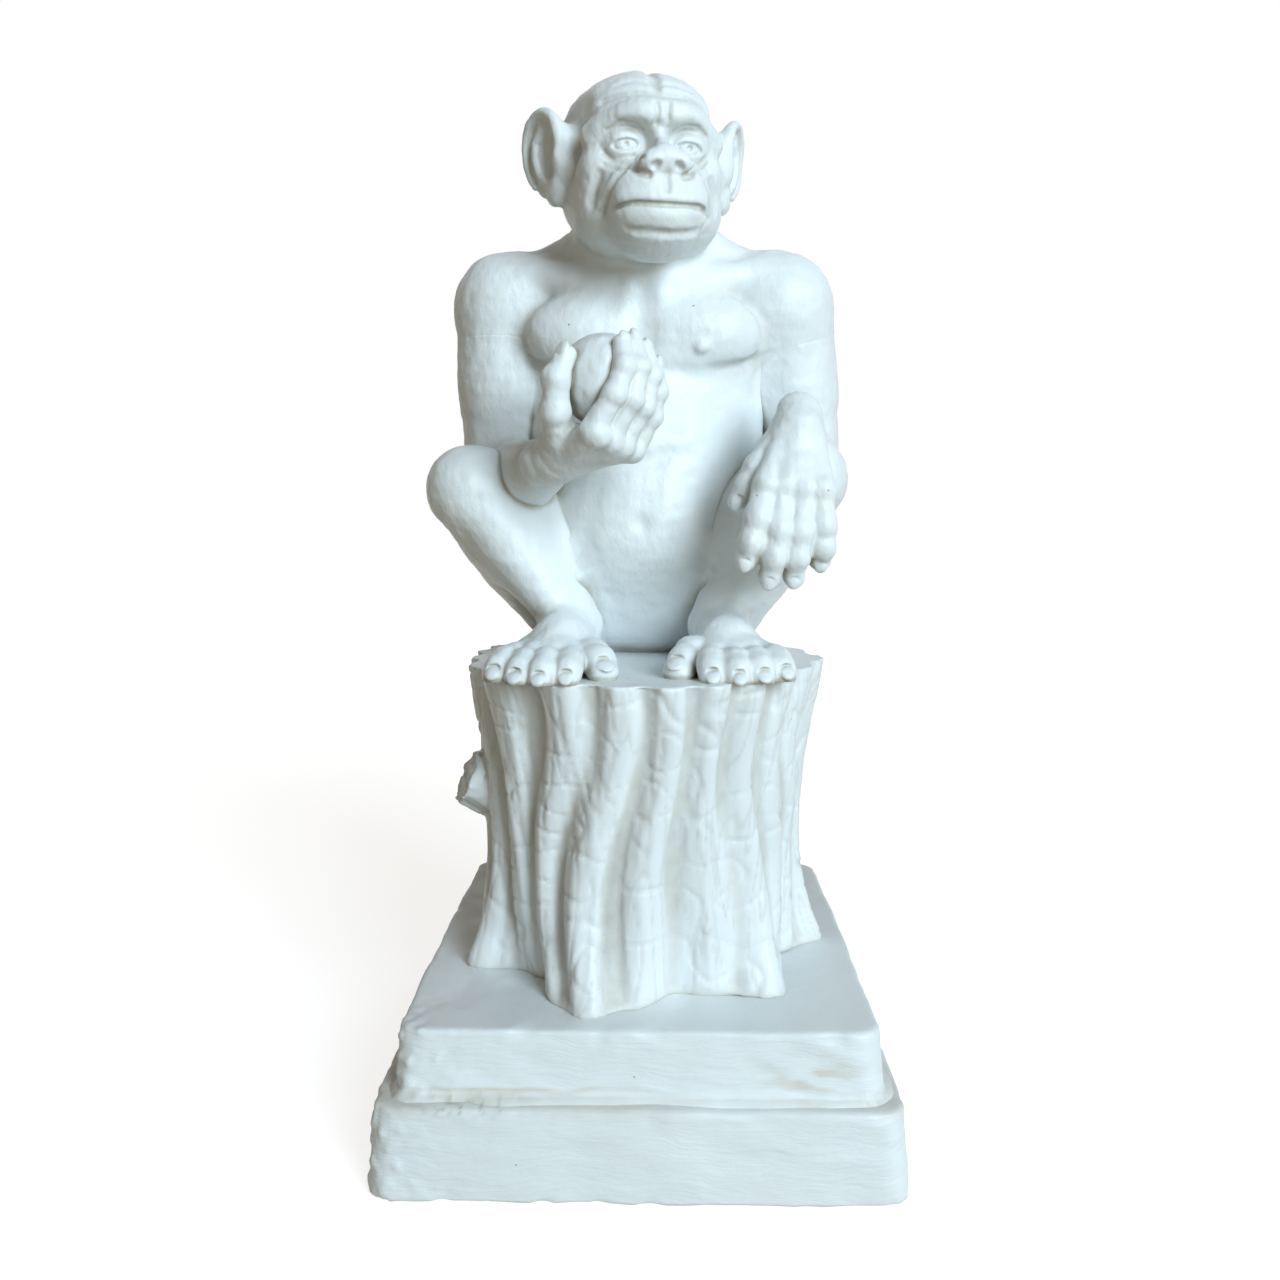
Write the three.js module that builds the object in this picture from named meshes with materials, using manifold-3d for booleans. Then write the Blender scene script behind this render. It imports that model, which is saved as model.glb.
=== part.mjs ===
// A seated ape on a tree stump, on a plinth of two steps: a plaster cast made in parts, which are
// set together on steel dowels and painted white.
// Millimetres, +Z up. The origin is the middle of the base, on the surface that it stands on.
// The ape faces -Y. Left and right are its own, so its left hand is at +X.

import * as THREE from 'three';
import { mergeVertices } from 'three/addons/utils/BufferGeometryUtils.js';
import Module from 'manifold-3d';

const wasm = await Module();
wasm.setup();

// How the castings meet
const JOINT_GAP = 0.3; // thickness of the plaster joint between two castings
const DOWEL_CLEARANCE = 0.3; // round each dowel, rod or pin in its hole
const KEY_CLEARANCE = 0.8; // round each raised key in its recess
const KEY_HEIGHT = 4;
const SHORTEST_EDGE = 0.15; // shorter edges, which cuts leave, are closed up

// Felt pads under the plinth
const PAD_RADIUS = 8;
const PAD_THICKNESS = 2;
const PAD_RECESS = 1.2;
const PAD_INSET = 14; // from the outside of the plinth to the middle of a pad
const PAD_MARGIN = 3; // plaster left round each pad

// Plinth
const LOWER_WIDTH = 146;
const LOWER_DEPTH = 157;
const LOWER_HEIGHT = 24;
const LOWER_WALL = 10;
const UPPER_WIDTH = 135;
const UPPER_DEPTH = 145;
const UPPER_HEIGHT = 18;
const PLINTH_DRAFT = 1.2; // how far each side leans in from bottom to top
const PLINTH_CORNER = 7;
const PLINTH_EDGE = 2.2; // rounding along the top and bottom edges
const PLINTH_KEY_INSET = 22; // from the outside of the upper step to the key under it

// Stump
const STUMP_HEIGHT = 92;
const STUMP_WALL = 10;
const STUMP_TOP = { x: 57, y: 61 };
const STUMP_WAIST = { x: 47, y: 50 };
const STUMP_FOOT = { x: 51, y: 54 };
const STUMP_Y = -4;
const ROOT_COUNT = 7;
const ROOT_REACH = 8;
const RIM_WAVE = 1.6; // how uneven the sawn rim is
const BARK_RIBS = 21;
const BARK_RELIEF = 1.1; // outwards on a rib, and inwards between two
const BRANCH_RADIUS = 8.5;
const BRANCH_LENGTH = 21;
const BRANCH_HEIGHT = 48;

// Skeleton of the ape, with z = 0 on the sawn top of the stump
const HIP = { x: 22, y: 18, z: 22 };
const SHOULDER = { x: 46, y: 9, z: 118 };
const NECK = { y: -2, z: 138 };
const HEAD = { y: -14, z: 162 };
const HEAD_TURN = 0.22; // radians, towards its left
const HEAD_NOD = 0.06; // radians, downwards
const HEAD_SCALE = 1.09; // on the sizes that the head is drawn at
const EAR = { x: 27, y: 4.5, z: -0.5, turn: 0.5 }; // in the frame of the head, turned in radians
const THIGH_LENGTH = 58;
const SHIN_LENGTH = 52;
const UPPER_ARM_LENGTH = 63;
const FOREARM_LENGTH = 59;
const ANKLE_HEIGHT = 13;
const LEFT_ANKLE = { x: 25, y: -14 };
const RIGHT_ANKLE = { x: -23, y: -17 };
const FRUIT = { x: -10, y: -51, z: 86 };

// Flesh on the skeleton
const PELVIS = { x: 39, y: 31 };
const BELLY = { x: 42, y: 37, z: 54 };
const RIBS = { x: 43, y: 34, z: 78 };
const CHEST = { x: 44, y: 30, z: 100 };
const SHOULDER_BLADE = { width: 17, thickness: 9.5, height: 21 };
const BACK_FURROW = { radius: 6, depth: 3 };
const THIGH_RADIUS = 20;
const KNEE_RADIUS = 14;
const CALF_RADIUS = 12;
const ANKLE_RADIUS = 8.2;
const DELTOID_RADIUS = 17;
const BICEPS_RADIUS = 14;
const ELBOW_RADIUS = 11.4;
const FOREARM_RADIUS = 12.2;
const WRIST_RADIUS = 7.6;
const PALM = { length: 23, width: 23, thickness: 11 };
const FINGER_LENGTH = 26;
const FINGER_RADIUS = 3.6;
const FOOT = { length: 28, width: 23, thickness: 12 };
const TOE_LENGTH = 14;
const TOE_RADIUS = 3.7;

// Fruit
const FRUIT_RADIUS = 14;
const STALK_RADIUS = 1.7;
const STALK_LENGTH = 8;

// Steel inside
const ROD_RADIUS = 3;
const ROD_Y = 14;
const ROD_IN_TORSO = 50;
const ROD_BELOW_NUT = 3;
const WASHER_RADIUS = 9;
const WASHER_THICKNESS = 1.6;
const NUT_RADIUS = 5.8; // to its corners
const NUT_HEIGHT = 5;
const DOWEL_RADIUS = 2.5;
const DOWEL_LENGTH = 30;
const PIN_RADIUS = 1.5;
const PIN_LENGTH = 16;

const plaster = new THREE.MeshStandardMaterial({ color: 0xe9ecea, roughness: 0.55, metalness: 0 });
const felt = new THREE.MeshStandardMaterial({ color: 0x8b8f8c, roughness: 0.95, metalness: 0 });
const steel = new THREE.MeshStandardMaterial({ color: 0x8f9296, roughness: 0.4, metalness: 0.9 });

const vec = (x, y, z) => new THREE.Vector3(x, y, z);
const between = (a, b, share) => a.clone().lerp(b, share);
const UP = vec(0, 0, 1);
const ACROSS = vec(1, 0, 0);
const UPRIGHT = new THREE.Matrix4();

// Solids

// A closed geometry as a solid that can be cut and joined.
function solid(geometry) {
  geometry.deleteAttribute('normal');
  geometry.deleteAttribute('uv');
  const merged = mergeVertices(geometry, 1e-4);
  const triVerts = new Uint32Array(merged.index.array);
  const vertProperties = merged.attributes.position.array;
  return new wasm.Manifold(new wasm.Mesh({ numProp: 3, vertProperties, triVerts }));
}

const join = (solids) => solids.reduce((whole, piece) => whole.add(piece));
const cut = (whole, ...tools) => tools.reduce((left, tool) => left.subtract(tool), whole);

// The two sides of a joint square to a direction: the near side, then the far side.
function split(whole, at, direction) {
  const normal = direction.clone().normalize();
  const place = normal.dot(at);
  const near = whole.trimByPlane(normal.clone().negate().toArray(), JOINT_GAP / 2 - place);
  const far = whole.trimByPlane(normal.toArray(), JOINT_GAP / 2 + place);
  return [near, far];
}

// The faces of a mesh after each edge shorter than SHORTEST_EDGE has shrunk to a point, so that cuts
// leave no slivers. Faces that fold flat onto each other go too.
function withoutSlivers({ vertProperties, triVerts }) {
  const point = (i) => new THREE.Vector3().fromArray(vertProperties, 3 * i);
  const kept = Array.from({ length: vertProperties.length / 3 }, (_, i) => i);
  const root = (i) => (kept[i] === i ? i : root(kept[i]));
  const corners = (face) => [0, 1, 2].map((corner) => root(triVerts[3 * face + corner]));
  const count = triVerts.length / 3;
  for (let face = 0; face < count; face++) {
    for (const side of [0, 1, 2]) {
      const [a, b] = [corners(face)[side], corners(face)[(side + 1) % 3]];
      if (a !== b && point(a).distanceTo(point(b)) < SHORTEST_EDGE) kept[Math.max(a, b)] = Math.min(a, b);
    }
  }
  const faces = new Map();
  for (let face = 0; face < count; face++) {
    const abc = corners(face);
    if (new Set(abc).size < 3) continue;
    const key = [...abc].sort((a, b) => a - b).join();
    if (!faces.delete(key)) faces.set(key, abc);
  }
  return [...faces.values()].flat();
}

// A named mesh of the largest body of a solid, without the crumbs that a cut can leave.
function meshOf(name, whole, material) {
  const bodies = whole.decompose().sort((a, b) => b.volume() - a.volume());
  const made = bodies[0].getMesh();
  const geometry = new THREE.BufferGeometry();
  geometry.setAttribute('position', new THREE.BufferAttribute(made.vertProperties, made.numProp));
  geometry.setIndex(withoutSlivers(made));
  const mesh = new THREE.Mesh(geometry.toNonIndexed(), material);
  mesh.geometry.computeVertexNormals();
  mesh.name = name;
  return mesh;
}

// Rings of points, each a list of the same length, closed by a point at either end.
function skin(rings, first, last) {
  const sides = rings[0].length;
  const points = [first, ...rings.flat(), last];
  const end = points.length - 1;
  const at = (ring, side) => 1 + ring * sides + (side % sides);
  const faces = [];
  for (let side = 0; side < sides; side++) {
    faces.push(0, at(0, side + 1), at(0, side));
    faces.push(end, at(rings.length - 1, side), at(rings.length - 1, side + 1));
    for (let ring = 0; ring < rings.length - 1; ring++) {
      faces.push(at(ring, side), at(ring, side + 1), at(ring + 1, side));
      faces.push(at(ring, side + 1), at(ring + 1, side + 1), at(ring + 1, side));
    }
  }
  const geometry = new THREE.BufferGeometry().setFromPoints(points);
  geometry.setIndex(faces);
  return geometry;
}

// A smooth tube with round ends. A station is { at, r, flat }: r is its half width in the
// direction across, and flat its half width square to that, the same as r if it is left out.
function tube(stations, { frame = UPRIGHT, across = ACROSS, sides = 12, steps = 2, grow = 0 } = {}) {
  const line = new THREE.CatmullRomCurve3(stations.map((station) => station.at));
  const sizes = new THREE.CatmullRomCurve3(stations.map(({ r, flat = r }) => vec(r, flat, 0)));
  const ring = (t, bulge) => {
    const tangent = line.getTangent(t);
    const wide = across.clone().addScaledVector(tangent, -across.dot(tangent)).normalize();
    const flat = vec().crossVectors(tangent, wide);
    const size = sizes.getPoint(t);
    const shrink = Math.cos(bulge);
    const reach = Math.sin(bulge) * (Math.min(size.x, size.y) + grow);
    const centre = line.getPoint(t).addScaledVector(tangent, reach);
    return Array.from({ length: sides }, (_, side) => {
      const angle = (2 * Math.PI * side) / sides;
      return centre
        .clone()
        .addScaledVector(wide, Math.cos(angle) * (size.x + grow) * shrink)
        .addScaledVector(flat, Math.sin(angle) * (size.y + grow) * shrink);
    });
  };
  const count = steps * (stations.length - 1);
  const bulges = sides > 8 ? [Math.PI / 3, Math.PI / 6] : [Math.PI / 4];
  const rings = [
    ...bulges.map((bulge) => ring(0, -bulge)),
    ...Array.from({ length: count + 1 }, (_, step) => ring(step / count, 0)),
    ...bulges.reverse().map((bulge) => ring(1, bulge)),
  ];
  const geometry = skin(rings, ring(0, -Math.PI / 2)[0], ring(1, Math.PI / 2)[0]);
  return solid(geometry.applyMatrix4(frame));
}

// An egg-shaped lump.
function lump(at, radii, { frame = UPRIGHT, grow = 0, detail = 12 } = {}) {
  const geometry = new THREE.SphereGeometry(1, detail, Math.round(detail * 0.7));
  geometry.rotateX(Math.PI / 2);
  geometry.scale(...radii.map((radius) => radius + grow));
  return solid(geometry.translate(at.x, at.y, at.z).applyMatrix4(frame));
}

// A round bar between two points.
function bar(from, to, radius, sides = 12) {
  const geometry = new THREE.CylinderGeometry(radius, radius, from.distanceTo(to), sides);
  const turn = new THREE.Quaternion().setFromUnitVectors(vec(0, 1, 0), to.clone().sub(from).normalize());
  const place = new THREE.Matrix4().compose(between(from, to, 0.5), turn, vec(1, 1, 1));
  return solid(geometry.applyMatrix4(place));
}

const post = (x, y, bottom, top, radius, sides) => bar(vec(x, y, bottom), vec(x, y, top), radius, sides);

// Heights that the parts are stacked at
const lowerBottom = PAD_THICKNESS - PAD_RECESS;
const lowerTop = lowerBottom + LOWER_HEIGHT;
const upperBottom = lowerTop + JOINT_GAP;
const upperTop = upperBottom + UPPER_HEIGHT;
const stumpBottom = upperTop + JOINT_GAP;
const seatHeight = stumpBottom + STUMP_HEIGHT;

// Plinth: two steps with rounded corners and edges, keyed into each other

// A slab with its underside at z = 0.
function slab(width, depth, height, { corner = PLINTH_CORNER, edge = 0, draft = 0 } = {}) {
  const outline = new THREE.Shape();
  const [x, y] = [width / 2 - corner, depth / 2 - corner];
  const radius = corner - edge;
  outline.absarc(x, -y, radius, -Math.PI / 2, 0);
  outline.absarc(x, y, radius, 0, Math.PI / 2);
  outline.absarc(-x, y, radius, Math.PI / 2, Math.PI);
  outline.absarc(-x, -y, radius, Math.PI, 1.5 * Math.PI);
  const geometry = new THREE.ExtrudeGeometry(outline, {
    depth: height - 2 * edge,
    curveSegments: 4,
    bevelEnabled: edge > 0,
    bevelSize: edge,
    bevelThickness: edge,
    bevelSegments: 2,
  }).translate(0, 0, edge);
  const place = geometry.attributes.position;
  for (let i = 0; i < place.count; i++) {
    const lean = (draft * place.getZ(i)) / height;
    place.setX(i, place.getX(i) * (1 - (2 * lean) / width));
    place.setY(i, place.getY(i) * (1 - (2 * lean) / depth));
  }
  return solid(geometry);
}

const rounding = { edge: PLINTH_EDGE, draft: PLINTH_DRAFT };

const pads = [];
for (const [row, rowSign] of [['front', -1], ['back', 1]]) {
  for (const [side, sideSign] of [['left', 1], ['right', -1]]) {
    const x = sideSign * (LOWER_WIDTH / 2 - PAD_INSET);
    const y = rowSign * (LOWER_DEPTH / 2 - PAD_INSET);
    pads.push({ name: `felt_pad_${row}_${side}`, x, y });
  }
}

function plinthKey(clearance) {
  const [width, depth] = [UPPER_WIDTH - 2 * PLINTH_KEY_INSET, UPPER_DEPTH - 2 * PLINTH_KEY_INSET];
  const overlap = 1;
  return slab(width + 2 * clearance, depth + 2 * clearance, KEY_HEIGHT + clearance + overlap)
    .translate(0, 0, lowerTop - overlap);
}

function plinthLower() {
  const outside = slab(LOWER_WIDTH, LOWER_DEPTH, LOWER_HEIGHT, rounding).translate(0, 0, lowerBottom);
  const inset = 2 * LOWER_WALL;
  const hollow = slab(LOWER_WIDTH - inset, LOWER_DEPTH - inset, LOWER_HEIGHT - LOWER_WALL + lowerBottom);
  const seats = pads.map(({ x, y }) => post(x, y, -1, lowerTop, PAD_RADIUS + PAD_MARGIN, 16));
  const recessTop = PAD_THICKNESS + JOINT_GAP / 2;
  const recesses = pads.map(({ x, y }) => post(x, y, -1, recessTop, PAD_RADIUS + JOINT_GAP, 16));
  return cut(outside, cut(hollow, ...seats), ...recesses).add(plinthKey(0));
}

function plinthUpper() {
  const outside = slab(UPPER_WIDTH, UPPER_DEPTH, UPPER_HEIGHT, rounding).translate(0, 0, upperBottom);
  const stumpKey = stumpHollow(-KEY_CLEARANCE, upperTop - 1, upperTop + KEY_HEIGHT);
  return cut(outside, plinthKey(KEY_CLEARANCE)).add(stumpKey);
}

// Stump: a hollow trunk with a flared foot of roots, a sawn top and one broken branch

// Half widths of the trunk between its roots, at a height above its foot.
function trunkSize(height) {
  const share = THREE.MathUtils.clamp(height / STUMP_HEIGHT, 0, 1);
  const flare = (1 - share) ** 3;
  const spread = share ** 2;
  const mix = (axis) =>
    STUMP_WAIST[axis] +
    (STUMP_FOOT[axis] - STUMP_WAIST[axis]) * flare +
    (STUMP_TOP[axis] - STUMP_WAIST[axis]) * spread;
  return vec(mix('x'), mix('y'), 0);
}

// The ribs of the bark wander a little as they climb.
function barkRib(angle, share) {
  const wander = 1.6 * Math.sin(3 * angle + 4 * share) + 1.2 * Math.sin(2 * angle - 6 * share + 1);
  return BARK_RELIEF * Math.cos(BARK_RIBS * angle + wander);
}

function trunkForm(sides, levels) {
  const rings = Array.from({ length: levels + 1 }, (_, level) => {
    const share = level / levels;
    const size = trunkSize(share * STUMP_HEIGHT);
    const root = ROOT_REACH * Math.exp(-5 * share);
    const rim = RIM_WAVE * share ** 3;
    return Array.from({ length: sides }, (_, side) => {
      const angle = (2 * Math.PI * side) / sides;
      const lobe = Math.cos(ROOT_COUNT * angle + 0.8 * Math.sin(2 * angle));
      const wave = root * lobe + rim * Math.sin(5 * angle + 1) + barkRib(angle, share);
      const z = stumpBottom + share * STUMP_HEIGHT;
      return vec(Math.cos(angle) * (size.x + wave), STUMP_Y + Math.sin(angle) * (size.y + wave), z);
    });
  });
  return solid(skin(rings, vec(0, STUMP_Y, stumpBottom), vec(0, STUMP_Y, seatHeight)));
}

function stumpHollow(clearance, bottom, top) {
  const [sides, levels] = [20, 3];
  const inset = ROOT_REACH * Math.exp(-5 * 0.3) + STUMP_WALL - clearance;
  const rings = Array.from({ length: levels + 1 }, (_, level) => {
    const z = bottom + ((top - bottom) * level) / levels;
    const size = trunkSize(Math.min(z - stumpBottom, 0.6 * STUMP_HEIGHT));
    return Array.from({ length: sides }, (_, side) => {
      const angle = (2 * Math.PI * side) / sides;
      return vec(Math.cos(angle) * (size.x - inset), STUMP_Y + Math.sin(angle) * (size.y - inset), z);
    });
  });
  return solid(skin(rings, vec(0, STUMP_Y, bottom), vec(0, STUMP_Y, top)));
}

// A branch broken off short on the trunk's right.
function branchStub() {
  const outwards = vec(-0.88, -0.28, 0.38).normalize();
  const bury = 10;
  const root = vec(bury - STUMP_WAIST.x, -14, stumpBottom + BRANCH_HEIGHT);
  const tip = root.clone().addScaledVector(outwards, BRANCH_LENGTH);
  const stations = [
    { at: root, r: BRANCH_RADIUS + 3 },
    { at: between(root, tip, 0.6), r: BRANCH_RADIUS },
    { at: tip.clone().addScaledVector(outwards, 3), r: BRANCH_RADIUS },
  ];
  const inwards = outwards.clone().negate();
  return tube(stations, { across: UP }).trimByPlane(inwards.toArray(), inwards.dot(tip));
}

function stump() {
  const hollow = stumpHollow(0, stumpBottom - 1, seatHeight - STUMP_WALL);
  return cut(trunkForm(5 * BARK_RIBS, 10).add(branchStub()), hollow);
}

// Ape: its skeleton

// The middle joint of a two-part limb that bends towards a direction.
function middleJoint(start, end, firstLength, secondLength, bend) {
  const line = end.clone().sub(start);
  const reach = Math.min(line.length(), 0.98 * (firstLength + secondLength));
  line.normalize();
  const along = (firstLength ** 2 - secondLength ** 2 + reach ** 2) / (2 * reach);
  const out = Math.sqrt(Math.max(0, firstLength ** 2 - along ** 2));
  const side = bend.clone().addScaledVector(line, -bend.dot(line)).normalize();
  return start.clone().addScaledVector(line, along).addScaledVector(side, out);
}

// A frame with +Y forward, and +Z as near as it can be to a direction.
function frameAt(at, forward, up) {
  const y = forward.clone().normalize();
  const x = vec().crossVectors(y, up).normalize();
  return new THREE.Matrix4().makeBasis(x, y, vec().crossVectors(x, y)).setPosition(at);
}

const towards = (from, to) => to.clone().sub(from).normalize();

function legBones(side, ankleAt, bend) {
  const hip = vec(side * HIP.x, HIP.y, HIP.z);
  const ankle = vec(ankleAt.x, ankleAt.y, ANKLE_HEIGHT);
  return { hip, knee: middleJoint(hip, ankle, THIGH_LENGTH, SHIN_LENGTH, bend), ankle };
}

function armBones(side, wrist, bend) {
  const shoulder = vec(side * SHOULDER.x, SHOULDER.y, SHOULDER.z);
  return { shoulder, elbow: middleJoint(shoulder, wrist, UPPER_ARM_LENGTH, FOREARM_LENGTH, bend), wrist };
}

const leftLeg = legBones(1, LEFT_ANKLE, vec(0.52, -0.4, 0.76));
const rightLeg = legBones(-1, RIGHT_ANKLE, vec(-0.6, -0.14, 0.78));

// The left hand hangs over the left knee. The right hand lies palm up under the fruit.
const fruitCentre = vec(FRUIT.x, FRUIT.y, FRUIT.z);
const leftHand = {
  forward: vec(-0.12, -0.5, -0.86).normalize(),
  back: vec(0.1, -0.86, 0.5).normalize(),
  thumbSide: 1,
  bends: [0.1, 0.3, 0.35],
  thumb: { heading: 0.45, bends: [0.2, 0.2, 0.15], length: 18 },
};
const rightHand = {
  forward: vec(0.8, -0.55, 0.22).normalize(),
  back: vec(-0.05, -0.2, -0.97).normalize(),
  thumbSide: -1,
  bends: [0.8, 0.75, 0.5],
  thumb: { heading: 0.9, bends: [0.7, 0.6, 0.3], length: 21 },
};
const leftWrist = leftLeg.knee.clone().add(vec(-3, -KNEE_RADIUS - 3, KNEE_RADIUS + 1));
const rightWrist = fruitCentre
  .clone()
  .addScaledVector(rightHand.forward, -0.7 * PALM.length)
  .addScaledVector(rightHand.back, FRUIT_RADIUS + 0.4 * PALM.thickness);
const leftArm = armBones(1, leftWrist, vec(0.2, 0.8, -0.5));
const rightArm = armBones(-1, rightWrist, vec(-0.35, 0.7, -0.62));
const neckDirection = vec(0, HEAD.y - NECK.y, HEAD.z - NECK.z);

const headFrame = new THREE.Matrix4()
  .makeRotationFromEuler(new THREE.Euler(HEAD_NOD, 0, HEAD_TURN, 'ZYX'))
  .scale(vec(HEAD_SCALE, HEAD_SCALE, HEAD_SCALE))
  .setPosition(0, HEAD.y, HEAD.z);

// Ape: its flesh

function torsoForm(grow) {
  const collar = { y: (SHOULDER.y + NECK.y) / 2, z: (SHOULDER.z + NECK.z) / 2 };
  const spine = [
    { at: vec(0, HIP.y + 8, 8), r: PELVIS.x - 3, flat: PELVIS.y - 3 },
    { at: vec(0, HIP.y + 4, HIP.z + 8), r: PELVIS.x, flat: PELVIS.y },
    { at: vec(0, HIP.y - 6, BELLY.z), r: BELLY.x, flat: BELLY.y },
    { at: vec(0, SHOULDER.y + 1, RIBS.z), r: RIBS.x, flat: RIBS.y },
    { at: vec(0, SHOULDER.y + 1, CHEST.z), r: CHEST.x, flat: CHEST.y },
    { at: vec(0, SHOULDER.y + 1, SHOULDER.z), r: CHEST.x - 9, flat: CHEST.y - 7 },
    { at: vec(0, collar.y, collar.z + 2), r: 25, flat: 20 },
  ];
  const shoulders = [-1, 0, 1].map((side) => ({
    at: vec(side * SHOULDER.x, SHOULDER.y + (side ? 0 : 7), SHOULDER.z + (side ? -1 : 5)),
    r: DELTOID_RADIUS - 2 + (side ? 0 : 4),
  }));
  const { width, thickness, height } = SHOULDER_BLADE;
  const breast = (side) => lump(vec(side * 18, -11, CHEST.z + 4), [20, 10, 13], { grow, detail: 10 });
  const blade = (side) => {
    const at = vec(side * (width + 5), SHOULDER.y + 20, CHEST.z + 5);
    return lump(at, [width, thickness, height], { grow, detail: 12 });
  };
  const furrow = spine.slice(1, 6).map(({ at, flat }) => ({
    at: at.clone().add(vec(0, flat + BACK_FURROW.radius - BACK_FURROW.depth, 0)),
    r: BACK_FURROW.radius,
  }));
  const body = cut(tube(spine, { sides: 18, grow }), tube(furrow, { sides: 8, grow: -grow }));
  const lumps = [-1, 1].flatMap((side) => [breast(side), blade(side)]);
  return join([body, tube(shoulders, { across: UP, sides: 10, grow }), ...lumps]);
}

function neckForm() {
  const nape = vec(0, HEAD.y + 11, HEAD.z - 4);
  const root = vec(0, NECK.y + 11, NECK.z - 18);
  return tube([{ at: root, r: 27, flat: 23 }, { at: nape, r: 20, flat: 20 }], { sides: 14, steps: 3 });
}

// A bone's flesh: its radius at the start, at a place along it, and at the end.
function muscle(from, to, [start, middle, end], place, grow) {
  const stations = [
    { at: from, r: start },
    { at: between(from, to, place), r: middle },
    { at: between(from, to, (1 + place) / 2), r: (middle + end) / 2 },
    { at: to, r: end },
  ];
  return tube(stations, { across: vec(0.3, 1, 0.4), sides: 11, grow });
}

const thighForm = ({ hip, knee }, grow = 0) =>
  muscle(hip, knee, [THIGH_RADIUS, THIGH_RADIUS - 1.5, KNEE_RADIUS], 0.5, grow);
const shinForm = ({ knee, ankle }, grow = 0) =>
  muscle(knee, ankle, [KNEE_RADIUS - 0.6, CALF_RADIUS, ANKLE_RADIUS], 0.4, grow);
const upperArmForm = ({ shoulder, elbow }, grow = 0) =>
  muscle(shoulder, elbow, [DELTOID_RADIUS, BICEPS_RADIUS, ELBOW_RADIUS], 0.5, grow);
const forearmForm = ({ elbow, wrist }, grow = 0) =>
  muscle(elbow, wrist, [ELBOW_RADIUS - 0.6, FOREARM_RADIUS, WRIST_RADIUS], 0.32, grow);

// A finger or toe of three bones that bends down at each, in a frame with +Y along it.
function digit(frame, base, heading, bends, length, radius) {
  const bones = [0.44, 0.32, 0.24];
  const stations = [{ at: base, r: radius * 1.05 }];
  let pitch = 0;
  bones.forEach((share, bone) => {
    pitch += bends[bone];
    const [level, drop] = [Math.cos(pitch) * length * share, Math.sin(pitch) * length * share];
    const step = vec(Math.sin(heading) * level, Math.cos(heading) * level, -drop);
    stations.push({ at: stations[bone].at.clone().add(step), r: radius * (0.98 - 0.07 * bone) });
  });
  return tube(stations, { frame, sides: 6 });
}

// A hand in a frame with +Y towards the fingertips and +Z out of its back.
function handForm(wrist, { forward, back, thumbSide, bends, thumb }) {
  const frame = frameAt(wrist, forward, back);
  const half = { width: PALM.width / 2, thickness: PALM.thickness / 2 };
  const palm = [
    { at: vec(0, 0, 0), r: WRIST_RADIUS + 0.6, flat: WRIST_RADIUS },
    { at: vec(0, PALM.length * 0.5, 0), r: half.width - 0.5, flat: half.thickness },
    { at: vec(0, PALM.length - 3, 0), r: half.width - 0.5, flat: half.thickness - 1 },
  ];
  const sizes = [0.94, 1.04, 0.98, 0.8];
  const fingers = sizes.map((size, finger) => {
    const share = finger / (sizes.length - 1) - 0.5;
    const base = vec(-thumbSide * share * (PALM.width - 2 * FINGER_RADIUS), PALM.length - 1.5, 0);
    return digit(frame, base, -thumbSide * share * 0.2, bends, FINGER_LENGTH * size, FINGER_RADIUS);
  });
  const thumbBase = vec(thumbSide * (half.width - 3.5), PALM.length * 0.3, -1);
  const heading = thumbSide * thumb.heading;
  const thumbForm = digit(frame, thumbBase, heading, thumb.bends, thumb.length, FINGER_RADIUS);
  return join([tube(palm, { frame, sides: 10 }), ...fingers, thumbForm]);
}

// A foot with its sole on the stump, in a frame with +Y towards the toes.
function footForm(ankle, points, bigToeSide) {
  const frame = frameAt(vec(ankle.x, ankle.y, 0), points, UP);
  const half = { width: FOOT.width / 2, thickness: FOOT.thickness / 2 };
  const ball = vec(bigToeSide, FOOT.length - 3, half.thickness - 0.8);
  const sole = [
    { at: vec(0, -5, 7), r: 8, flat: 7.5 },
    { at: vec(bigToeSide, FOOT.length * 0.35, half.thickness + 0.6), r: 8.6, flat: half.thickness },
    { at: ball, r: half.width - 0.5, flat: half.thickness - 1 },
  ];
  const instep = [
    { at: vec(0, 0, ANKLE_HEIGHT), r: ANKLE_RADIUS },
    { at: vec(bigToeSide, FOOT.length * 0.55, half.thickness + 2), r: 6.5 },
  ];
  const sizes = [1, 1.08, 1, 0.86];
  const toes = sizes.map((size, toe) => {
    const share = toe / (sizes.length - 1) - 0.5;
    const base = vec(
      -bigToeSide * (share * (FOOT.width - 2 * TOE_RADIUS + 2) + 1),
      FOOT.length + 1 - Math.abs(share) * 3,
      TOE_RADIUS + 1,
    );
    return digit(frame, base, -bigToeSide * share * 0.3, [0.05, 0.3, 0.5], TOE_LENGTH * size, TOE_RADIUS);
  });
  const bigToeBase = vec(bigToeSide * (half.width - 3), FOOT.length * 0.5, TOE_RADIUS + 1.2);
  const bigToeSize = [TOE_LENGTH * 1.45, TOE_RADIUS * 1.15];
  const bigToe = digit(frame, bigToeBase, bigToeSide * 0.5, [0.02, 0.2, 0.2], ...bigToeSize);
  return join([tube(sole, { frame, sides: 10 }), tube(instep, { frame, sides: 8 }), ...toes, bigToe]);
}

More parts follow.
